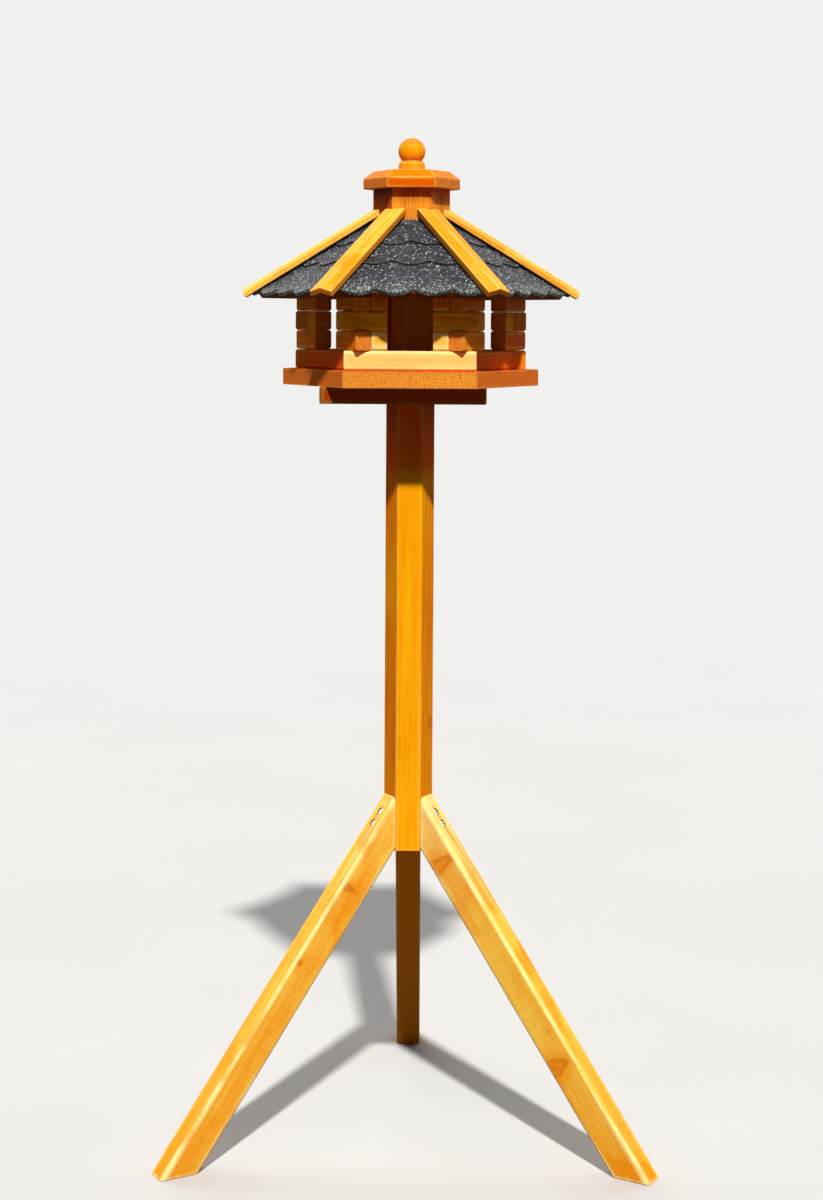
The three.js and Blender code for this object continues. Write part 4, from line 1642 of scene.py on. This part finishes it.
def camera_sees(w):
    """1 for what the camera sees, straight, mirrored or through glass."""
    path = w.put("ShaderNodeLightPath").outputs
    seen = w.math("MAXIMUM", path["Is Camera Ray"], path["Is Glossy Ray"])
    return w.math("MAXIMUM", seen, path["Is Transmission Ray"])


FLOOR_RADIUS = 30.0
FLOOR_SEGMENTS = 96
FLOOR_CLOUD = ((1.5, 1.5, 1.5), 2.0, 0.55)
FLOOR_TINTS = (on_screen(194, 194, 195), on_screen(199, 199, 200))
FLOOR_CLEAR = (2.2, 6.0)  # where the floor fades into the background
FLOOR_BOUNCE = on_screen(86, 84, 77)  # what the floor throws back up on the object


def make_floor(finishes):
    mesh = bpy.data.meshes.new("floor")
    shape = bmesh.new()
    bmesh.ops.create_circle(shape, cap_ends=True, segments=FLOOR_SEGMENTS, radius=FLOOR_RADIUS)
    shape.to_mesh(mesh)
    shape.free()
    material = bpy.data.materials.new("pale_floor")
    material.use_nodes = True
    material.node_tree.nodes.clear()
    w = Wiring(material.node_tree)
    place = w.put("ShaderNodeTexCoord").outputs["Object"]
    tint = w.mix(w.noise(place, *FLOOR_CLOUD), *FLOOR_TINTS)
    seen = camera_sees(w)
    paint = w.put("ShaderNodeBsdfDiffuse", {"Color": w.mix(seen, FLOOR_BOUNCE, tint)})
    glow = w.put("ShaderNodeEmission", {"Color": finishes.background, "Strength": 1.0})
    parts = w.split(place)
    away = w.fade(w.distance(parts["X"], parts["Y"]), *FLOOR_CLEAR)
    amount = w.math("MULTIPLY", away, seen)
    both = w.put("ShaderNodeMixShader", {0: amount, 1: paint.outputs[0], 2: glow.outputs[0]})
    below = w.put("ShaderNodeNewGeometry").outputs["Backfacing"]
    clear = w.put("ShaderNodeBsdfTransparent")
    sheet = w.put("ShaderNodeMixShader", {0: below, 1: both.outputs[0], 2: clear.outputs[0]})
    output = w.put("ShaderNodeOutputMaterial")
    w.feed(output.inputs["Surface"], sheet.outputs[0])
    mesh.materials.append(material)
    floor = bpy.data.objects.new("floor", mesh)
    bpy.context.scene.collection.objects.link(floor)


# The sky's light on the object
SKY_TINT = on_screen(244, 242, 240)
SKY_STRENGTH = 0.1


def make_world(finishes):
    world = bpy.data.worlds.new("studio")
    world.use_nodes = True
    world.node_tree.nodes.clear()
    w = Wiring(world.node_tree)
    fill = w.put("ShaderNodeBackground", {"Color": SKY_TINT, "Strength": SKY_STRENGTH})
    seen = w.put("ShaderNodeBackground", {"Color": finishes.background, "Strength": 1.0})
    both = w.put("ShaderNodeMixShader", {0: camera_sees(w), 1: fill.outputs[0], 2: seen.outputs[0]})
    output = w.put("ShaderNodeOutputWorld")
    w.feed(output.inputs["Surface"], both.outputs[0])
    bpy.context.scene.world = world


# Each lamp: how far it stands to the right of the front and how high, in degrees, its strength,
# the angle that it seems to fill, and its colour
LAMPS = {
    "key": (6, 48, 4.35, 2.5, (1.0, 0.97, 0.92)),
    "back_left": (-150, 35, 1.8, 60, (1.0, 0.98, 0.94)),
    "back_right": (140, 25, 1.0, 60, (1.0, 0.98, 0.94)),
}


def make_lamps():
    for name, (aside, up, strength, angle, tint) in LAMPS.items():
        data = bpy.data.lights.new(name, "SUN")
        data.energy = strength
        data.angle = math.radians(angle)
        data.color = tint
        lamp = bpy.data.objects.new(name, data)
        bpy.context.scene.collection.objects.link(lamp)
        turn = Matrix.Rotation(math.radians(aside), 4, "Z")
        lamp.matrix_world = turn @ Matrix.Rotation(math.pi / 2 - math.radians(up), 4, "X")


# Operators


class BIRD_TABLE_OT_finishes(bpy.types.Operator):
    """Make the stained pine, felt and steel finishes"""

    bl_idname = "bird_table.finishes"
    bl_label = "Finishes"

    def execute(self, context):
        chosen = context.scene.finishes
        make_timber_group()
        for name, values in PINE_VALUES.items():
            tint = name.split("_")[0]
            early = getattr(chosen, f"{tint}_early")
            late = getattr(chosen, f"{tint}_late")
            make_pine(name, {"Early wood": early, "Late wood": late, **values})
        make_felt(chosen)
        make_steel()
        return {"FINISHED"}


class BIRD_TABLE_OT_stage(bpy.types.Operator):
    """Make the camera, the floor, the world and the lamps"""

    bl_idname = "bird_table.stage"
    bl_label = "Stage"

    def execute(self, context):
        scene = context.scene
        scene.view_settings.view_transform = "Standard"
        make_camera()
        make_floor(scene.finishes)
        make_world(scene.finishes)
        make_lamps()
        return {"FINISHED"}


class BIRD_TABLE_OT_post(bpy.types.Operator):
    """Make the six-sided post"""

    bl_idname = "bird_table.post"
    bl_label = "Post"

    def execute(self, context):
        make_post(context.scene.stand_sizes)
        return {"FINISHED"}


class BIRD_TABLE_OT_legs(bpy.types.Operator):
    """Make the three splayed legs"""

    bl_idname = "bird_table.legs"
    bl_label = "Legs"

    def execute(self, context):
        make_legs(context.scene.stand_sizes)
        return {"FINISHED"}


class BIRD_TABLE_OT_screws(bpy.types.Operator):
    """Make the leg screws and the plate screws"""

    bl_idname = "bird_table.screws"
    bl_label = "Screws"

    def execute(self, context):
        make_screws(context.scene.stand_sizes)
        return {"FINISHED"}


class BIRD_TABLE_OT_floor_boards(bpy.types.Operator):
    """Make the mounting plate and the platform"""

    bl_idname = "bird_table.floor_boards"
    bl_label = "Plate and platform"

    def execute(self, context):
        sizes = context.scene.stand_sizes
        make_mounting_plate(sizes)
        make_platform(sizes)
        return {"FINISHED"}


class BIRD_TABLE_OT_walls(bpy.types.Operator):
    """Make the rails, the corners and the top ring"""

    bl_idname = "bird_table.walls"
    bl_label = "Log walls"

    def execute(self, context):
        scene = context.scene
        make_rails(scene.stand_sizes)
        make_corners(scene.stand_sizes)
        make_top_ring(scene.house_sizes)
        return {"FINISHED"}


class BIRD_TABLE_OT_silo(bpy.types.Operator):
    """Make the feed silo"""

    bl_idname = "bird_table.silo"
    bl_label = "Silo"

    def execute(self, context):
        make_silo(context.scene.house_sizes)
        return {"FINISHED"}


class BIRD_TABLE_OT_roof(bpy.types.Operator):
    """Make the roof boards, the felt courses and the hip strips"""

    bl_idname = "bird_table.roof"
    bl_label = "Roof"

    def execute(self, context):
        scene = context.scene
        for make in (make_roof_boards, make_shingles, make_hip_strips):
            make(scene.house_sizes, scene.roof_sizes, scene.stand_sizes.seat_gap)
        return {"FINISHED"}


class BIRD_TABLE_OT_cap(bpy.types.Operator):
    """Make the lift-off cap and its knob"""

    bl_idname = "bird_table.cap"
    bl_label = "Cap and knob"

    def execute(self, context):
        scene = context.scene
        make_cap(scene.house_sizes, scene.roof_sizes)
        make_knob(scene.roof_sizes)
        return {"FINISHED"}


OPERATORS = (
    BIRD_TABLE_OT_finishes,
    BIRD_TABLE_OT_stage,
    BIRD_TABLE_OT_post,
    BIRD_TABLE_OT_legs,
    BIRD_TABLE_OT_screws,
    BIRD_TABLE_OT_floor_boards,
    BIRD_TABLE_OT_walls,
    BIRD_TABLE_OT_silo,
    BIRD_TABLE_OT_roof,
    BIRD_TABLE_OT_cap,
)
GROUPS = {
    "stand_sizes": StandSizes,
    "house_sizes": HouseSizes,
    "roof_sizes": RoofSizes,
    "finishes": Finishes,
}


class BIRD_TABLE_PT_panel(bpy.types.Panel):
    """Lists the pieces and their sizes"""

    bl_idname = "BIRD_TABLE_PT_panel"
    bl_label = "Bird table"
    bl_space_type = "VIEW_3D"
    bl_region_type = "UI"
    bl_category = "Bird Table"

    def draw(self, context):
        for operator in OPERATORS:
            self.layout.operator(operator.bl_idname)
        for group_name in GROUPS:
            settings = getattr(context.scene, group_name)
            for name in settings.bl_rna.properties.keys():
                if name not in ("rna_type", "name"):
                    self.layout.prop(settings, name)


def register():
    for kind in (*GROUPS.values(), *OPERATORS, BIRD_TABLE_PT_panel):
        bpy.utils.register_class(kind)
    for name, kind in GROUPS.items():
        setattr(bpy.types.Scene, name, bpy.props.PointerProperty(type=kind))


def unregister():
    for name in GROUPS:
        delattr(bpy.types.Scene, name)
    for kind in (*GROUPS.values(), *OPERATORS, BIRD_TABLE_PT_panel):
        bpy.utils.unregister_class(kind)


def main():
    register()
    for operator in OPERATORS:
        category, name = operator.bl_idname.split(".")
        getattr(getattr(bpy.ops, category), name)()


if __name__ == "__main__":
    main()
